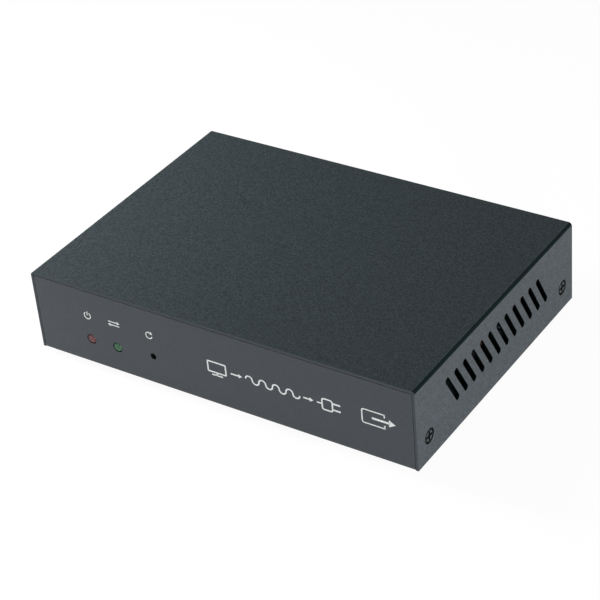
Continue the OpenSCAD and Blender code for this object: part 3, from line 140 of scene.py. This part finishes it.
def edge_of(place, radius):
    """The normal rounded over edges, and a value that is 1 on the edges and 0 on flat faces."""
    rounded = place.node("Bevel", {"Radius": radius}, samples=6)
    flat = place.node("NewGeometry", {}, output=1)
    along = place.node("VectorMath", {0: rounded, 1: flat}, output=1, operation="DOT_PRODUCT")
    return rounded, (1 - along).clear(0.01, 0.22)


def bump(place, height, depth, normal=None):
    """Leads a height in shares of the given depth into the shader's normal."""
    inputs = {"Strength": 1.0, "Distance": depth, "Height": height}
    if normal:
        inputs["Normal"] = normal
    place.node("Bump", inputs).feed("Normal")


def dress(material, *nodes):
    """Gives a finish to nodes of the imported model."""
    for node in nodes:
        for material_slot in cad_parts[node].material_slots:
            material_slot.material = material


chassis_low, chassis_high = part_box("chassis")
plate_front, plate_t, fold_r, enamel_t = chassis_low[1], 0.0010, 0.0030, 0.00005
haze_size, peel_size, peel_depth, fade = 0.030, 0.0009, 0.000012, 0.0005
satin_enamel, place = finish("satin_enamel", Specular_IOR_Level=0.45)
rounded, edge = edge_of(place, 0.00025)
haze = place.noise(haze_size, 3).clear(0.35, 0.65)
peel = place.noise(peel_size, 3)
coat = haze.blend((0.0445, 0.0525, 0.0615), (0.0475, 0.0560, 0.0657))
coat = (peel.clear(0.42, 0.62) * 0.55).blend(coat, (0.0560, 0.0655, 0.0760))
# painted highlight with a little wear: the edges are painted a lighter grey
coat = (edge * 0.5).blend(coat, (0.110, 0.118, 0.123))
across, along, up = place.axes()
# painted shade: the walls of the front plate's holes are painted near black, where shade falls in them
hole_shade = (along - plate_front).clear(enamel_t, enamel_t + 0.00007)
hole_shade = hole_shade * (plate_front + plate_t - along).clear(0.0, 0.0001)
for inset in (up - chassis_low[2], chassis_high[2] - up, chassis_high[0] - across.size()):
    hole_shade = hole_shade * inset.clear(fold_r, fold_r + fade)
hole_shade.blend(coat, (0.0040, 0.0055, 0.0060)).feed("Base Color")
(0.50 + haze * 0.05 - edge * 0.08).feed("Roughness")
bump(place, peel, peel_depth, rounded)
dress(satin_enamel, "chassis")


# Feet: four moulded discs of dull black rubber, stuck under the floor near its corners. They are a
# little scuffed.
soft_rubber, place = finish("soft_rubber", Specular_IOR_Level=0.3)
scuff = place.noise(0.0018, 4).clear(0.45, 0.70)
scuff.blend((0.012, 0.012, 0.012), (0.026, 0.026, 0.025)).feed("Base Color")
(0.78 + scuff * 0.12).feed("Roughness")
bump(place, place.noise(0.0004, 3), depth=0.00004)
dress(soft_rubber, "rubber_feet")


# Standoffs, board screws and nuts: turned and cold-headed steel with bright zinc plate, pressed into
# the floor or driven into the standoffs. The plate has a faint bluish cloudiness and turning marks.
def plated(name, dull, bright, roughness, lump=0.0025, grain=(1, 1, 6)):
    material, place = finish(name, Metallic=1.0)
    cloud = place.noise(lump, 3).clear(0.35, 0.70)
    marks = place.noise(0.00025, 2, 0.6, grain)
    cloud.blend(dull, bright).feed("Base Color")
    (roughness - 0.05 + cloud * 0.08 + marks * 0.10).feed("Roughness")
    bump(place, marks, depth=0.000008, normal=edge_of(place, 0.00012)[0])
    return material


zinc_plate = plated("zinc_plate", (0.42, 0.44, 0.47), (0.62, 0.63, 0.64), roughness=0.28)
dress(zinc_plate, "board_standoffs", "board_screws", "inlet_nuts", "earth_stud", "earth_nut",
      "heatsink_screw")


# Main board: woven glass laminate under a green mask, with etched copper tracks below the mask.
# It lies on standoffs, and its upper side carries the lamps at the front and the socket at the rear.
def laminate(name, base, mask_over_track, cloth_colour, weave_size, track_size, sheen):
    material, place = finish(name, Specular_IOR_Level=0.5)
    turned = place.node("Mapping", {"Vector": place, "Scale": (1, 1, 0)})
    runs = place.node("TexVoronoi", {"Vector": turned, "Scale": 1 / track_size, "Randomness": 0.85},
                      distance="CHEBYCHEV", feature="F1")
    tracks = runs.node("Math", {0: runs * 9.0, 1: 1.0}, operation="FRACT").clear(0.40, 0.50)
    ground = turned.noise(track_size * 4, 1).clear(0.52, 0.54)
    copper = tracks * (1 - ground) + ground * 0.8
    weave = place.node("TexWave", {"Vector": turned, "Scale": 1 / weave_size, "Distortion": 0.4}, output=1,
                       wave_type="BANDS", bands_direction="X")
    cross = place.node("TexWave", {"Vector": turned, "Scale": 1 / weave_size, "Distortion": 0.4}, output=1,
                       wave_type="BANDS", bands_direction="Y")
    cloth = (weave + cross) * 0.5
    body = (cloth * 0.30).blend(base, cloth_colour)
    (copper * 0.75).blend(body, mask_over_track).feed("Base Color")
    (sheen + cloth * 0.08 - copper * 0.06).feed("Roughness")
    bump(place, copper + cloth * 0.15, depth=0.00003, normal=edge_of(place, 0.00015)[0])
    return material


green_laminate = laminate("green_laminate", (0.004, 0.060, 0.026), (0.012, 0.120, 0.045),
                          (0.030, 0.110, 0.055), weave_size=0.0012, track_size=0.0070, sheen=0.30)
dress(green_laminate, "main_board")


# Supply board: the same glass laminate under a dark mask, with wide tracks for the mains current.
# It lies on standoffs too, and carries the parts that turn mains current into the supply.
dark_laminate = laminate("dark_laminate", (0.005, 0.014, 0.011), (0.011, 0.032, 0.025),
                         (0.010, 0.022, 0.018), weave_size=0.0012, track_size=0.0140, sheen=0.34)
dress(dark_laminate, "supply_board")


# Lamps: two cast epoxy lamps, milky with their dye, that lie on the board's edge in black spacers
# and look out through the front plate. They are not lit.
def lens(name, deep, pale):
    material, place = finish(name, Roughness=0.22, Subsurface_Weight=0.35, Subsurface_Scale=0.0008,
                             Subsurface_Radius=(1.0, 0.6, 0.6), IOR=1.55)
    milk = place.noise(0.0012, 2).clear(0.30, 0.70)
    milk.blend(deep, pale).feed("Base Color")
    (0.18 + milk * 0.12).feed("Roughness")
    bump(place, place.noise(0.0006, 2), depth=0.00001)
    return material


dress(lens("red_epoxy", (0.100, 0.012, 0.015), (0.155, 0.025, 0.029)), "power_lamp")
dress(lens("green_epoxy", (0.005, 0.078, 0.022), (0.012, 0.125, 0.038)), "link_lamp")


# Black mouldings: the lamps' spacers, the reset button and its block, the bobbin, the socket's block
# and the mains inlet, in glass-filled nylon with a spark-eroded face.
def moulded(name, dark, light, roughness, grain=0.00022, depth=0.00001, specular=0.4):
    material, place = finish(name, Specular_IOR_Level=specular)
    mottle = place.noise(0.004, 3).clear(0.30, 0.70)
    pits = place.noise(grain, 2, 0.6)
    mottle.blend(dark, light).feed("Base Color")
    (roughness - 0.04 + mottle * 0.06 + pits * 0.06).feed("Roughness")
    bump(place, pits, depth, edge_of(place, 0.00015)[0])
    return material


black_nylon = moulded("black_nylon", (0.013, 0.013, 0.014), (0.022, 0.022, 0.023), roughness=0.52)
dress(black_nylon, "lamp_holders", "reset_button", "reset_switch_body", "transformer_bobbin",
      "video_socket_insulator", "mains_inlet")


# Tinned sheet and wire: the switch's frame and dome, the socket's drawn shell, the chips' bent
# leads and every leg that goes through the boards, with a soft satin of tin.
tin_plate = plated("tin_plate", (0.50, 0.50, 0.49), (0.70, 0.70, 0.68), roughness=0.30, lump=0.0012,
                   grain=(1, 5, 1))
dress(tin_plate, "reset_switch_frame", "reset_switch_dome", "video_socket_shell", "chip_leads",
      "soldered_legs")


# Contacts of the video socket: stamped from bronze strip under a thin flash of gold, and pressed
# into the socket's black block.
gold_flash = plated("gold_flash", (0.62, 0.40, 0.12), (0.83, 0.60, 0.24), roughness=0.20, lump=0.0008)
dress(gold_flash, "video_socket_contacts")


# Blades of the inlet and the earth lug: stamped brass, bright where a connector has rubbed it. The
# blades are pressed into the moulding, and a nut holds the lug on its stud.
blade_brass = plated("blade_brass", (0.46, 0.36, 0.16), (0.66, 0.55, 0.28), roughness=0.27, lump=0.0030,
                     grain=(1, 1, 1))
dress(blade_brass, "inlet_blades", "earth_lug")


# Wires: stranded copper in soft plastic, brown and blue for the mains and red for the harness. The
# earth wire's cover is green with a yellow stripe that winds slowly round it.
def covered_wire(name, dark, light):
    material, place = finish(name, Specular_IOR_Level=0.4)
    mottle = place.noise(0.003, 2).clear(0.35, 0.65)
    strands = place.noise(0.0007, 2, 0.5, (1, 0.3, 0.3))
    mottle.blend(dark, light).feed("Base Color")
    (0.40 + mottle * 0.10).feed("Roughness")
    bump(place, strands, depth=0.00003)
    return material


dress(covered_wire("brown_cover", (0.075, 0.030, 0.014), (0.105, 0.045, 0.022)), "live_wire")
dress(covered_wire("blue_cover", (0.016, 0.060, 0.260), (0.026, 0.085, 0.340)), "neutral_wire")
dress(covered_wire("red_cover", (0.260, 0.012, 0.010), (0.360, 0.024, 0.018)), "harness_wires")

earth_cover, place = finish("earth_cover", Specular_IOR_Level=0.4)
winding = place.node("TexWave", {"Vector": place, "Scale": 60.0, "Distortion": 0.0}, output=1,
                     wave_type="BANDS", bands_direction="DIAGONAL")
stripe = winding.clear(0.60, 0.64)
stripe.blend((0.050, 0.230, 0.035), (0.620, 0.480, 0.030)).feed("Base Color")
(0.42 + place.noise(0.003, 2) * 0.10).feed("Roughness")
bump(place, place.noise(0.0007, 2, 0.5, (1, 0.3, 0.3)), depth=0.00003)
dress(earth_cover, "earth_wire")


# Sleeves, headers and plugs: unfilled nylon, ivory white and a little waxy. The headers stand on the
# boards and the plugs of the harness push onto them.
white_nylon = moulded("white_nylon", (0.56, 0.54, 0.46), (0.68, 0.66, 0.58), roughness=0.45, grain=0.0004)
dress(white_nylon, "wire_sleeves", "board_headers", "harness_plugs")


# Fuse: a clear glass tube with nickel-plated brass caps, pushed into two sprung clips that stand on
# the supply board.
clear_glass, place = finish("clear_glass", Transmission_Weight=1.0, IOR=1.50)
film = place.noise(0.004, 2).clear(0.4, 0.7)
film.blend((0.93, 0.96, 0.95), (0.98, 0.99, 0.99)).feed("Base Color")
(0.02 + film * 0.05).feed("Roughness")
bump(place, place.noise(0.002, 1), depth=0.000005)
dress(clear_glass, "fuse_glass")
nickel_plate = plated("nickel_plate", (0.50, 0.48, 0.44), (0.68, 0.66, 0.61), roughness=0.22)
dress(nickel_plate, "fuse_caps", "fuse_clips")


# Line choke: a pressed ferrite ring with two coils of copper wire in dark enamel. The transformer's
# core and the power coils are of the same ferrite, ground on their faces.
ferrite = moulded("ferrite", (0.030, 0.030, 0.033), (0.050, 0.050, 0.053), roughness=0.55, grain=0.0003,
                  depth=0.00003, specular=0.5)
dress(ferrite, "line_choke_core", "transformer_core", "power_coils")
enamelled_copper, place = finish("enamelled_copper", Metallic=0.85, Coat_Roughness=0.12)
hue = place.noise(0.0018, 2).clear(0.3, 0.7)
hue.blend((0.050, 0.017, 0.008), (0.100, 0.036, 0.016)).feed("Base Color")
(0.26 + hue * 0.12).feed("Roughness")
(0.4 + hue * 0.3).feed("Coat Weight")
bump(place, place.noise(0.0005, 2), depth=0.00001)
dress(enamelled_copper, "line_choke_coils")


# Winding of the supply transformer: copper wire on the bobbin, wrapped in yellow polyester tape
# whose turns overlap a little.
wound_tape, place = finish("wound_tape", IOR=1.6)
laps = place.node("TexWave", {"Vector": place, "Scale": 110.0, "Distortion": 0.6}, output=1,
                  wave_type="BANDS", bands_direction="Y", wave_profile="SAW")
laps.blend((0.52, 0.33, 0.020), (0.70, 0.49, 0.045)).feed("Base Color")
(0.26 + laps * 0.10).feed("Roughness")
bump(place, laps, depth=0.00006)
dress(wound_tape, "transformer_winding")


# Suppression capacitor: a potted yellow box. The safety capacitor beside the transformer is a
# disc dipped in blue ceramic lacquer.
yellow_box = moulded("yellow_box", (0.50, 0.33, 0.020), (0.62, 0.43, 0.035), roughness=0.32, grain=0.0006,
                     specular=0.5)
dress(yellow_box, "filter_capacitor")
blue_dip = moulded("blue_dip", (0.010, 0.070, 0.260), (0.020, 0.105, 0.340), roughness=0.24, grain=0.0016,
                   depth=0.00006, specular=0.5)
dress(blue_dip, "isolation_capacitor")


# Chips, bridge, transistor and line transformer: black epoxy with a fine matt face, moulded round
# their leads. The processor's carrier is green laminate, as the main board is.
chip_epoxy = moulded("chip_epoxy", (0.014, 0.014, 0.015), (0.021, 0.021, 0.022), roughness=0.60,
                     grain=0.00018)
dress(chip_epoxy, "bridge_rectifier", "switch_transistor", "memory_chips", "line_chip",
      "coupling_transformer")
dress(green_laminate, "processor")


# Large capacitors: drawn cans in a shrunk dark blue sleeve, with a paler band down one side and
# the bare scored metal at the top.
can_sleeve, place = finish("can_sleeve", IOR=1.52)
across, along, up = place.node("NewGeometry", {}, output=1).axes()
bare = up.clear(0.80, 0.86)
band = across.clear(0.86, 0.88)
sleeve = band.blend((0.012, 0.016, 0.075), (0.42, 0.44, 0.48))
bare.blend(sleeve, (0.60, 0.60, 0.61)).feed("Base Color")
(bare * 0.9).feed("Metallic")
(0.24 + place.noise(0.002, 2) * 0.12).feed("Roughness")
bump(place, place.noise(0.0015, 2), depth=0.00003)
dress(can_sleeve, "bulk_capacitor", "output_capacitors")


# Small cans and crystals: drawn from aluminium and nickel silver sheet, left bare and polished by
# the press. They stand on the main board.
drawn_can = plated("drawn_can", (0.60, 0.60, 0.61), (0.76, 0.76, 0.76), roughness=0.24, lump=0.0015)
dress(drawn_can, "smoothing_capacitors", "crystals")


# Heatsinks: sawn lengths of extruded aluminium with die lines along the fins. The processor's is
# left plain, and the transistor's is black anodised.
def extruded(name, dull, clean, metallic, along):
    material, place = finish(name, Metallic=metallic)
    die_lines = place.noise(0.0002, 2, 0.6, along)
    tarnish = place.noise(0.006, 3).clear(0.3, 0.7)
    tarnish.blend(dull, clean).feed("Base Color")
    (0.30 + die_lines * 0.22).feed("Roughness")
    bump(place, die_lines, depth=0.00001, normal=edge_of(place, 0.00012)[0])
    return material


plain_aluminium = extruded("plain_aluminium", (0.55, 0.56, 0.57), (0.70, 0.71, 0.72), metallic=1.0,
                           along=(1, 0.04, 0.04))
dress(plain_aluminium, "processor_heatsink")
black_anodised = extruded("black_anodised", (0.020, 0.020, 0.022), (0.034, 0.034, 0.037), metallic=0.4,
                          along=(1, 1, 0.04))
dress(black_anodised, "switch_heatsink")


# Chip parts round the processor: small blocks of fired ceramic, soldered flat to the main board by
# their ends.
fired_ceramic = moulded("fired_ceramic", (0.22, 0.15, 0.085), (0.31, 0.22, 0.13), roughness=0.50,
                        grain=0.0002)
dress(fired_ceramic, "chip_parts")


# Cover: one sheet over the top and both sides, bent, slotted and countersunk, then powder coated.
# The cured powder has a fine sandy texture of paler grains. Painted shade darkens the two long bends,
# the recesses round the screws, the rear rim of the sides and the walls of the slots to near black.
# The sides carry a painted warmer light, the front and rear ends a painted lighter tone, and the edges a
# painted highlight with a little wear.
cover_low, cover_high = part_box("cover")
case_half_w, cover_rear, case_top = cover_high
cover_front = cover_low[1]
screws_low, screws_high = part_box("cover_screws")
bend_r, head_r, recess_r, rim_w, skin = 0.0013, 0.00235, 0.00275, 0.0009, 0.0001
screw_z = (screws_low[2] + screws_high[2]) / 2
screw_places = [(case_half_w, y, screw_z) for y in (screws_low[1] + head_r, screws_high[1] - head_r)]
sand_size, dust_size, drift_size, sand_depth = 0.00058, 0.0022, 0.040, 0.00005
# the near-black colour below is painted shade, used on the bends, round the screws and in the slots
painted_shade = (0.0004, 0.0060, 0.0056)
powder_coat, place = finish("powder_coat", Specular_IOR_Level=0.15)
rounded, edge = edge_of(place, 0.00030)
sand = place.noise(sand_size, 2, 0.6)
dust = place.noise(dust_size, 2)
drift = place.noise(drift_size, 3).clear(0.35, 0.65)
height = sand * 0.86 + dust * 0.14
grains = height.clear(0.40, 0.62)
tone = grains.blend((0.0240, 0.0325, 0.0360), (0.0640, 0.0830, 0.0910))
tone = (drift * 0.20).blend(tone, (0.0420, 0.0560, 0.0615))
# painted highlight with a little wear: the edges are painted a lighter grey
tone = (edge * 0.25).blend(tone, (0.110, 0.120, 0.125))
across, along, up = place.axes()
sideways = across.size()
on_side = sideways.clear(case_half_w - 3 * skin, case_half_w - skin)
# painted light: the side faces are painted a warmer, lighter tone than the top, for the light on them
tone = (on_side * 0.25).blend(tone, (0.0604, 0.0577, 0.0650))
# painted shadow: the sides are painted darker along their rear rim
rear_rim_shade = on_side * along.clear(cover_rear - rim_w, cover_rear - rim_w + 3 * skin)
tone = (rear_rim_shade * 0.6).blend(tone, (0.0100, 0.0150, 0.0155))
# painted shade: the two long bends are painted near black and rougher, a dark band for shade there
bend_shade = sideways.clear(case_half_w - bend_r * 0.85, case_half_w - bend_r * 0.55)
bend_shade = bend_shade * up.clear(case_top - bend_r * 0.85, case_top - bend_r * 0.55)
tone = bend_shade.blend(tone, painted_shade)
mirrored = place.node("CombineXYZ", {"X": sideways, "Y": along, "Z": up})
# painted shade: the recess round each cover screw is painted near black
for screw_place in screw_places:
    countersink_shade = mirrored.apart(screw_place).clear(recess_r, recess_r - 0.8 * skin)
    tone = countersink_shade.blend(tone, painted_shade)
# painted shade: the walls of the slots are painted near black and metallic, so the slots read dark
slot_shade = (case_half_w - sideways).clear(0.4 * skin, skin) * (case_top - up).clear(0.4 * skin, skin)
tone = slot_shade.blend(tone, painted_shade)
# painted light: the sheet's front and rear ends are painted a lighter tone than the coat
half_depth = (cover_rear - cover_front) / 2
to_middle = (along - (cover_front + half_depth)).size()
painted_light_ends = to_middle.clear(half_depth - 1.2 * skin, half_depth - 0.4 * skin)
painted_light_ends.blend(tone, (0.0700, 0.0810, 0.0930)).feed("Base Color")
(0.66 + grains * 0.10 - edge * 0.05 + bend_shade * 0.34).feed("Roughness")
(slot_shade * (1 - bend_shade) * (1 - painted_light_ends)).feed("Metallic")
bump(place, height, sand_depth, rounded)
dress(powder_coat, "cover")


# Screws of the cover and the inlet: cross-recessed countersunk steel with a dark grey coat. On the
# cover's screws the cross and the rim are painted near black, painted shade in the recess and in the gap
# round the head, and the driver has rubbed the edges a little.
# The cover's screws lie beyond beside_x, and the inlet's lie behind behind_y.
head_sink, ring_w, behind_y, beside_x, between = 0.0001, 0.00055, 0.052, 0.070, 0.001
grey_steel, place = finish("grey_steel", Specular_IOR_Level=0.5)
rounded, edge = edge_of(place, 0.00012)
rubbed = (edge * place.noise(0.0006, 2).clear(0.35, 0.60)) * 0.3
across, along, up = place.axes()
# painted shade: the floor of the cross recess in the cover's screws is painted near black
sunk = (case_half_w - head_sink - across.size()).clear(0.6 * skin, 1.4 * skin)
sunk = sunk * along.size().clear(behind_y + between, behind_y)
face = sunk.blend((0.020, 0.027, 0.031), (0.0010, 0.0025, 0.0025))
mirrored = place.node("CombineXYZ", {"X": across.size(), "Y": along, "Z": up})
# painted shade: the outer rim of the cover's screw heads is painted near black, for the shadow round them
rim = across.size().clear(beside_x, beside_x + between)
for screw_place in screw_places:
    rim = rim * mirrored.apart(screw_place).clear(head_r - ring_w, head_r - ring_w + 1.5 * skin)
face = rim.blend(face, (0.0010, 0.0025, 0.0025))
head_shade = (sunk + rim).clear(0.0, 1.0)
rubbed.blend(face, (0.160, 0.168, 0.175)).feed("Base Color")
(0.20 + rubbed * 0.40 + head_shade * 0.55).clear(0.0, 1.0).feed("Metallic")
(0.42 + place.noise(0.0009, 3) * 0.14 - rubbed * 0.12 + head_shade * 0.40).feed("Roughness")
bump(place, place.noise(0.0003, 2), depth=0.000012, normal=rounded)
dress(grey_steel, "cover_screws", "inlet_screws")


# Signs on the front and rear: white pad-printed ink, a few hundredths of a millimetre thick. A mains
# sign stands over the red lamp, a link sign over the green one and a turning arrow over the reset
# hole. A row of plain drawings says what the unit does: a picture goes through the mains and out.
case_left, base, ink_t = -case_half_w, chassis_low[2], 0.00002


def put(drawing, shape, x, z, angle=0.0):
    """Moves a flat drawing, made in X and Y about its own middle, to its place on the front."""
    turn = Matrix.Rotation(radians(90), 4, "X") @ Matrix.Rotation(radians(angle), 4, "Z")
    place = Matrix.Translation((case_left + x / 1000, plate_front - ink_t, base + z / 1000))
    bmesh.ops.transform(shape, matrix=place @ turn, verts=shape.verts)
    kept = bpy.data.meshes.new("shape")
    shape.to_mesh(kept)
    drawing.from_mesh(kept)
    bpy.data.meshes.remove(kept)
    shape.free()


def bar(drawing, x, z, length, width, angle=0.0):
    """A straight stroke about its middle, sizes in millimetres."""
    shape = bmesh.new()
    bmesh.ops.create_grid(shape, x_segments=1, y_segments=1, size=0.5)
    bmesh.ops.scale(shape, vec=(length / 1000, width / 1000, 1), verts=shape.verts)
    put(drawing, shape, x, z, angle)


def arc(drawing, x, z, radius, width, start, sweep):
    """A round stroke about a middle, from a start angle over a sweep in degrees."""
    shape = bmesh.new()
    inner = shape.verts.new(((radius - width / 2) / 1000, 0, 0))
    outer = shape.verts.new(((radius + width / 2) / 1000, 0, 0))
    edge = shape.edges.new((inner, outer))
    bmesh.ops.spin(shape, geom=[inner, outer, edge], cent=(0, 0, 0), axis=(0, 0, 1), angle=radians(sweep),
                   steps=max(6, int(sweep / 12)), use_merge=sweep == 360)
    put(drawing, shape, x, z, start)


def tip(drawing, x, z, radius, angle):
    """An arrow's head: a solid triangle that points along the angle."""
    shape = bmesh.new()
    bmesh.ops.create_circle(shape, cap_ends=True, segments=3, radius=radius / 1000,
                            matrix=Matrix.Rotation(radians(-90), 4, "Z"))
    put(drawing, shape, x, z, angle)


def outline(drawing, x, z, width, height, corner, stroke):
    """A frame with round corners, its stroke inside the given size."""
    shape = bmesh.new()
    bmesh.ops.create_grid(shape, x_segments=1, y_segments=1, size=0.5)
    bmesh.ops.scale(shape, vec=(width / 1000, height / 1000, 1), verts=shape.verts)
    bmesh.ops.bevel(shape, geom=shape.verts[:], affect="VERTICES", offset=corner / 1000, segments=6,
                    profile=0.5, material=-1)
    middle = shape.faces[:]
    bmesh.ops.inset_region(shape, faces=middle, thickness=stroke / 1000, use_boundary=True,
                           use_even_offset=True)
    bmesh.ops.delete(shape, geom=middle, context="FACES")
    put(drawing, shape, x, z)


# sizes are in millimetres, and places count from the front's lower left corner
signs = bmesh.new()
small_stroke, small_z, mains_x, link_x, reset_x = 0.38, 20.1, 22.6, 33.75, 48.4
# mains sign over the red lamp
arc(signs, mains_x, small_z, 1.30, small_stroke, 125, 290)
bar(signs, mains_x, small_z + 0.90, 1.50, small_stroke, 90)
# link sign over the green lamp: two arrows that pass each other
for way in (1, -1):
    bar(signs, link_x - way * 0.35, small_z + way * 0.60, 3.8, small_stroke)
    tip(signs, link_x + way * 1.70, small_z + way * 0.60, 0.80, 90 - way * 90)
# reset sign over the pin-hole: an arrow that turns once round
turn_r, turn_end = 1.25, radians(50)
arc(signs, reset_x, small_z, turn_r, small_stroke, 60, 285)
tip(signs, reset_x + turn_r * cos(turn_end), small_z + turn_r * sin(turn_end), 0.78, -40)
# the row: a screen on its foot, an arrow, a run of waves, an arrow and a plug with its two pins
row_stroke, row_z, screen_x, wave_x, wave_r, waves, plug_x = 0.55, 15.2, 75.2, 87.8, 1.3, 8, 117.6
outline(signs, screen_x, row_z + 0.4, 7.6, 4.6, 0.5, row_stroke)
bar(signs, screen_x, row_z - 2.70, 4.2, row_stroke)
bar(signs, screen_x, row_z - 2.25, 0.8, 0.80, 90)
for arrow_x, length, tip_x in ((82.2, 3.0, 84.2), (109.8, 2.4, 111.5)):
    bar(signs, arrow_x, row_z, length, row_stroke)
    tip(signs, tip_x, row_z, 0.95, 0)
for number in range(waves):
    arc(signs, wave_x + number * 2 * wave_r, row_z, wave_r, row_stroke, 180 * (number % 2), 180)
bar(signs, plug_x - 3.0, row_z, 1.8, row_stroke)
outline(signs, plug_x, row_z, 4.4, 4.8, 1.1, row_stroke)
for way in (1, -1):
    bar(signs, plug_x + 3.5, row_z + way * 1.2, 2.8, 0.65)
# the output sign: a box that is open at its right, and an arrow that leaves it
box_stroke, box_x, box_z, box_half_h, corner_r = 0.45, 135.0, 15.85, 2.65, 0.8
for way in (1, -1):
    level = box_z + way * box_half_h
    bar(signs, box_x, level, 7.6, box_stroke)
    arc(signs, box_x - 3.8, level - way * corner_r, corner_r, box_stroke, 135 - way * 45, 90)
    bar(signs, box_x + 3.6, level - way * 0.6, 1.2, box_stroke, 90)
bar(signs, box_x - 4.6, box_z, 3.7, box_stroke, 90)
bar(signs, box_x + 2.2, box_z, 6.4, 0.80)
tip(signs, box_x + 6.0, box_z, 1.60, 0)
# behind: a screen over the video socket and the wave of alternating current beside the inlet, drawn
# as the front is and turned round to the rear plate
rear_signs = bmesh.new()
fine_stroke, rear_screen_x, rear_screen_z = 0.36, 112.0, 24.3
rear_wave_x, rear_wave_z, rear_wave_r = 59.4, 15.6, 1.2
outline(rear_signs, rear_screen_x, rear_screen_z, 5.2, 3.4, 0.4, fine_stroke)
bar(rear_signs, rear_screen_x, rear_screen_z - 2.2, 2.8, fine_stroke)
bar(rear_signs, rear_screen_x, rear_screen_z - 1.9, 0.5, 0.50, 90)
for number in range(2):
    arc(rear_signs, rear_wave_x + number * 2 * rear_wave_r, rear_wave_z, rear_wave_r, 0.45, 180 * number, 180)
case_middle = (0, (plate_front + chassis_high[1]) / 2, 0)
bmesh.ops.rotate(rear_signs, cent=case_middle, matrix=Matrix.Rotation(pi, 3, "Z"), verts=rear_signs.verts)
turned_mesh = bpy.data.meshes.new("turned")
rear_signs.to_mesh(turned_mesh)
signs.from_mesh(turned_mesh)
bpy.data.meshes.remove(turned_mesh)
rear_signs.free()
bmesh.ops.remove_doubles(signs, verts=signs.verts, dist=1e-7)
signs.normal_update()
inward = [face for face in signs.faces if face.normal.y * face.calc_center_median().y < 0]
bmesh.ops.reverse_faces(signs, faces=inward)
bmesh.ops.solidify(signs, geom=signs.faces[:], thickness=ink_t * 1.5)
signs_mesh = bpy.data.meshes.new("printed_signs")
signs.to_mesh(signs_mesh)
signs.free()
printed_signs = bpy.data.objects.new("printed_signs", signs_mesh)
bpy.context.scene.collection.objects.link(printed_signs)
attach(printed_signs, "case")

white_ink, place = finish("white_ink", Specular_IOR_Level=0.4)
thin = place.noise(0.0005, 3).clear(0.25, 0.55)
thin.blend((0.70, 0.72, 0.73), (0.92, 0.93, 0.93)).feed("Base Color")
(0.48 + thin * 0.10).feed("Roughness")
bump(place, place.noise(0.0004, 2), depth=0.000006)
signs_mesh.materials.append(white_ink)


# Table top: a plain pale sheet that runs out behind the object. To the camera it is nine tenths white
# by itself, and the rest keeps the soft shadow under the case. Seen from below, it is clear.
def seen_share(tree, share):
    """A share for rays that the camera sends, straight, by metal or through glass, and 0 for others."""
    rays = Shade(tree, None).node("LightPath", {}).socket.node.outputs
    seen = Shade(tree, rays["Is Camera Ray"]) + Shade(tree, rays["Is Transmission Ray"])
    return (seen + Shade(tree, rays["Is Glossy Ray"]) * 0.5).clear(0, 1) * share


table_half_w, table_gap, white_share = 3.0, 0.00005, 0.90
table_mesh = bmesh.new()
bmesh.ops.create_grid(table_mesh, x_segments=1, y_segments=1, size=table_half_w)
bmesh.ops.translate(table_mesh, vec=(0, 0, -table_gap), verts=table_mesh.verts)
table_data = bpy.data.meshes.new("table_top")
table_mesh.to_mesh(table_data)
table_mesh.free()
table_top = bpy.data.objects.new("table_top", table_data)
bpy.context.scene.collection.objects.link(table_top)
pale_sheet, place = finish("pale_sheet", Base_Color=(0.90, 0.90, 0.90, 1), Roughness=0.9,
                           Specular_IOR_Level=0.1)
tree = place.tree
sheet = Shade(tree, tree.nodes["Principled BSDF"].outputs[0])
white = place.node("Emission", {"Strength": 1.05})
either = place.node("MixShader", {0: seen_share(tree, white_share), 1: sheet, 2: white})
from_below = place.node("NewGeometry", {}, output="Backfacing")
one_sided = place.node("MixShader", {0: from_below, 1: either, 2: place.node("BsdfTransparent", {})})
tree.links.new(one_sided.socket, tree.nodes["Material Output"].inputs["Surface"])
table_data.materials.append(pale_sheet)


# Light: four soft boxes, over the left side, at the front right, behind at the right and beside the
# right side, in an even dim room that the camera sees as white.
world = bpy.data.worlds.new("room")
bpy.context.scene.world = world
world.use_nodes = True
tree = world.node_tree
sky = tree.nodes["Background"]
room_level = 0.085
tree.links.new((seen_share(tree, 1 - room_level) + room_level).socket, sky.inputs["Strength"])
tree.links.new(seen_share(tree, 1.0).blend((0.90, 1, 1), (1, 1, 1)).socket, sky.inputs["Color"])


def soft_box(name, place, aim, size, power, tint=(1, 1, 1)):
    """A lit panel at a place, turned to what it aims at, with its width and height and its watts."""
    lamp = bpy.data.objects.new(name, bpy.data.lights.new(name, "AREA"))
    bpy.context.scene.collection.objects.link(lamp)
    lamp.data.shape = "RECTANGLE"
    lamp.data.size, lamp.data.size_y = size
    lamp.data.energy = power
    lamp.data.color = tint
    lamp.location = place
    lamp.rotation_mode = "QUATERNION"
    lamp.rotation_quaternion = (Vector(aim) - Vector(place)).to_track_quat("-Z", "Y")


soft_box("left_box", (-0.28, -0.055, 0.20), aim=(-0.04, -0.02, 0.03), size=(0.08, 0.16), power=1.02)
soft_box("front_box", (0.75, -0.80, 0.16), aim=(0.07, -0.05, 0.02), size=(0.3, 0.2), power=5.2)
soft_box("rear_box", (0.70, 0.98, 0.10), aim=(0.0, 0.05, 0.02), size=(0.5, 0.15), power=3.5)
soft_box("side_box", (0.85, -0.10, 0.13), aim=(0.07, 0.0, 0.02), size=(0.4, 0.2), power=6.15,
         tint=(1.0, 0.94, 0.95))

scene = bpy.context.scene
scene.view_settings.view_transform = "Standard"
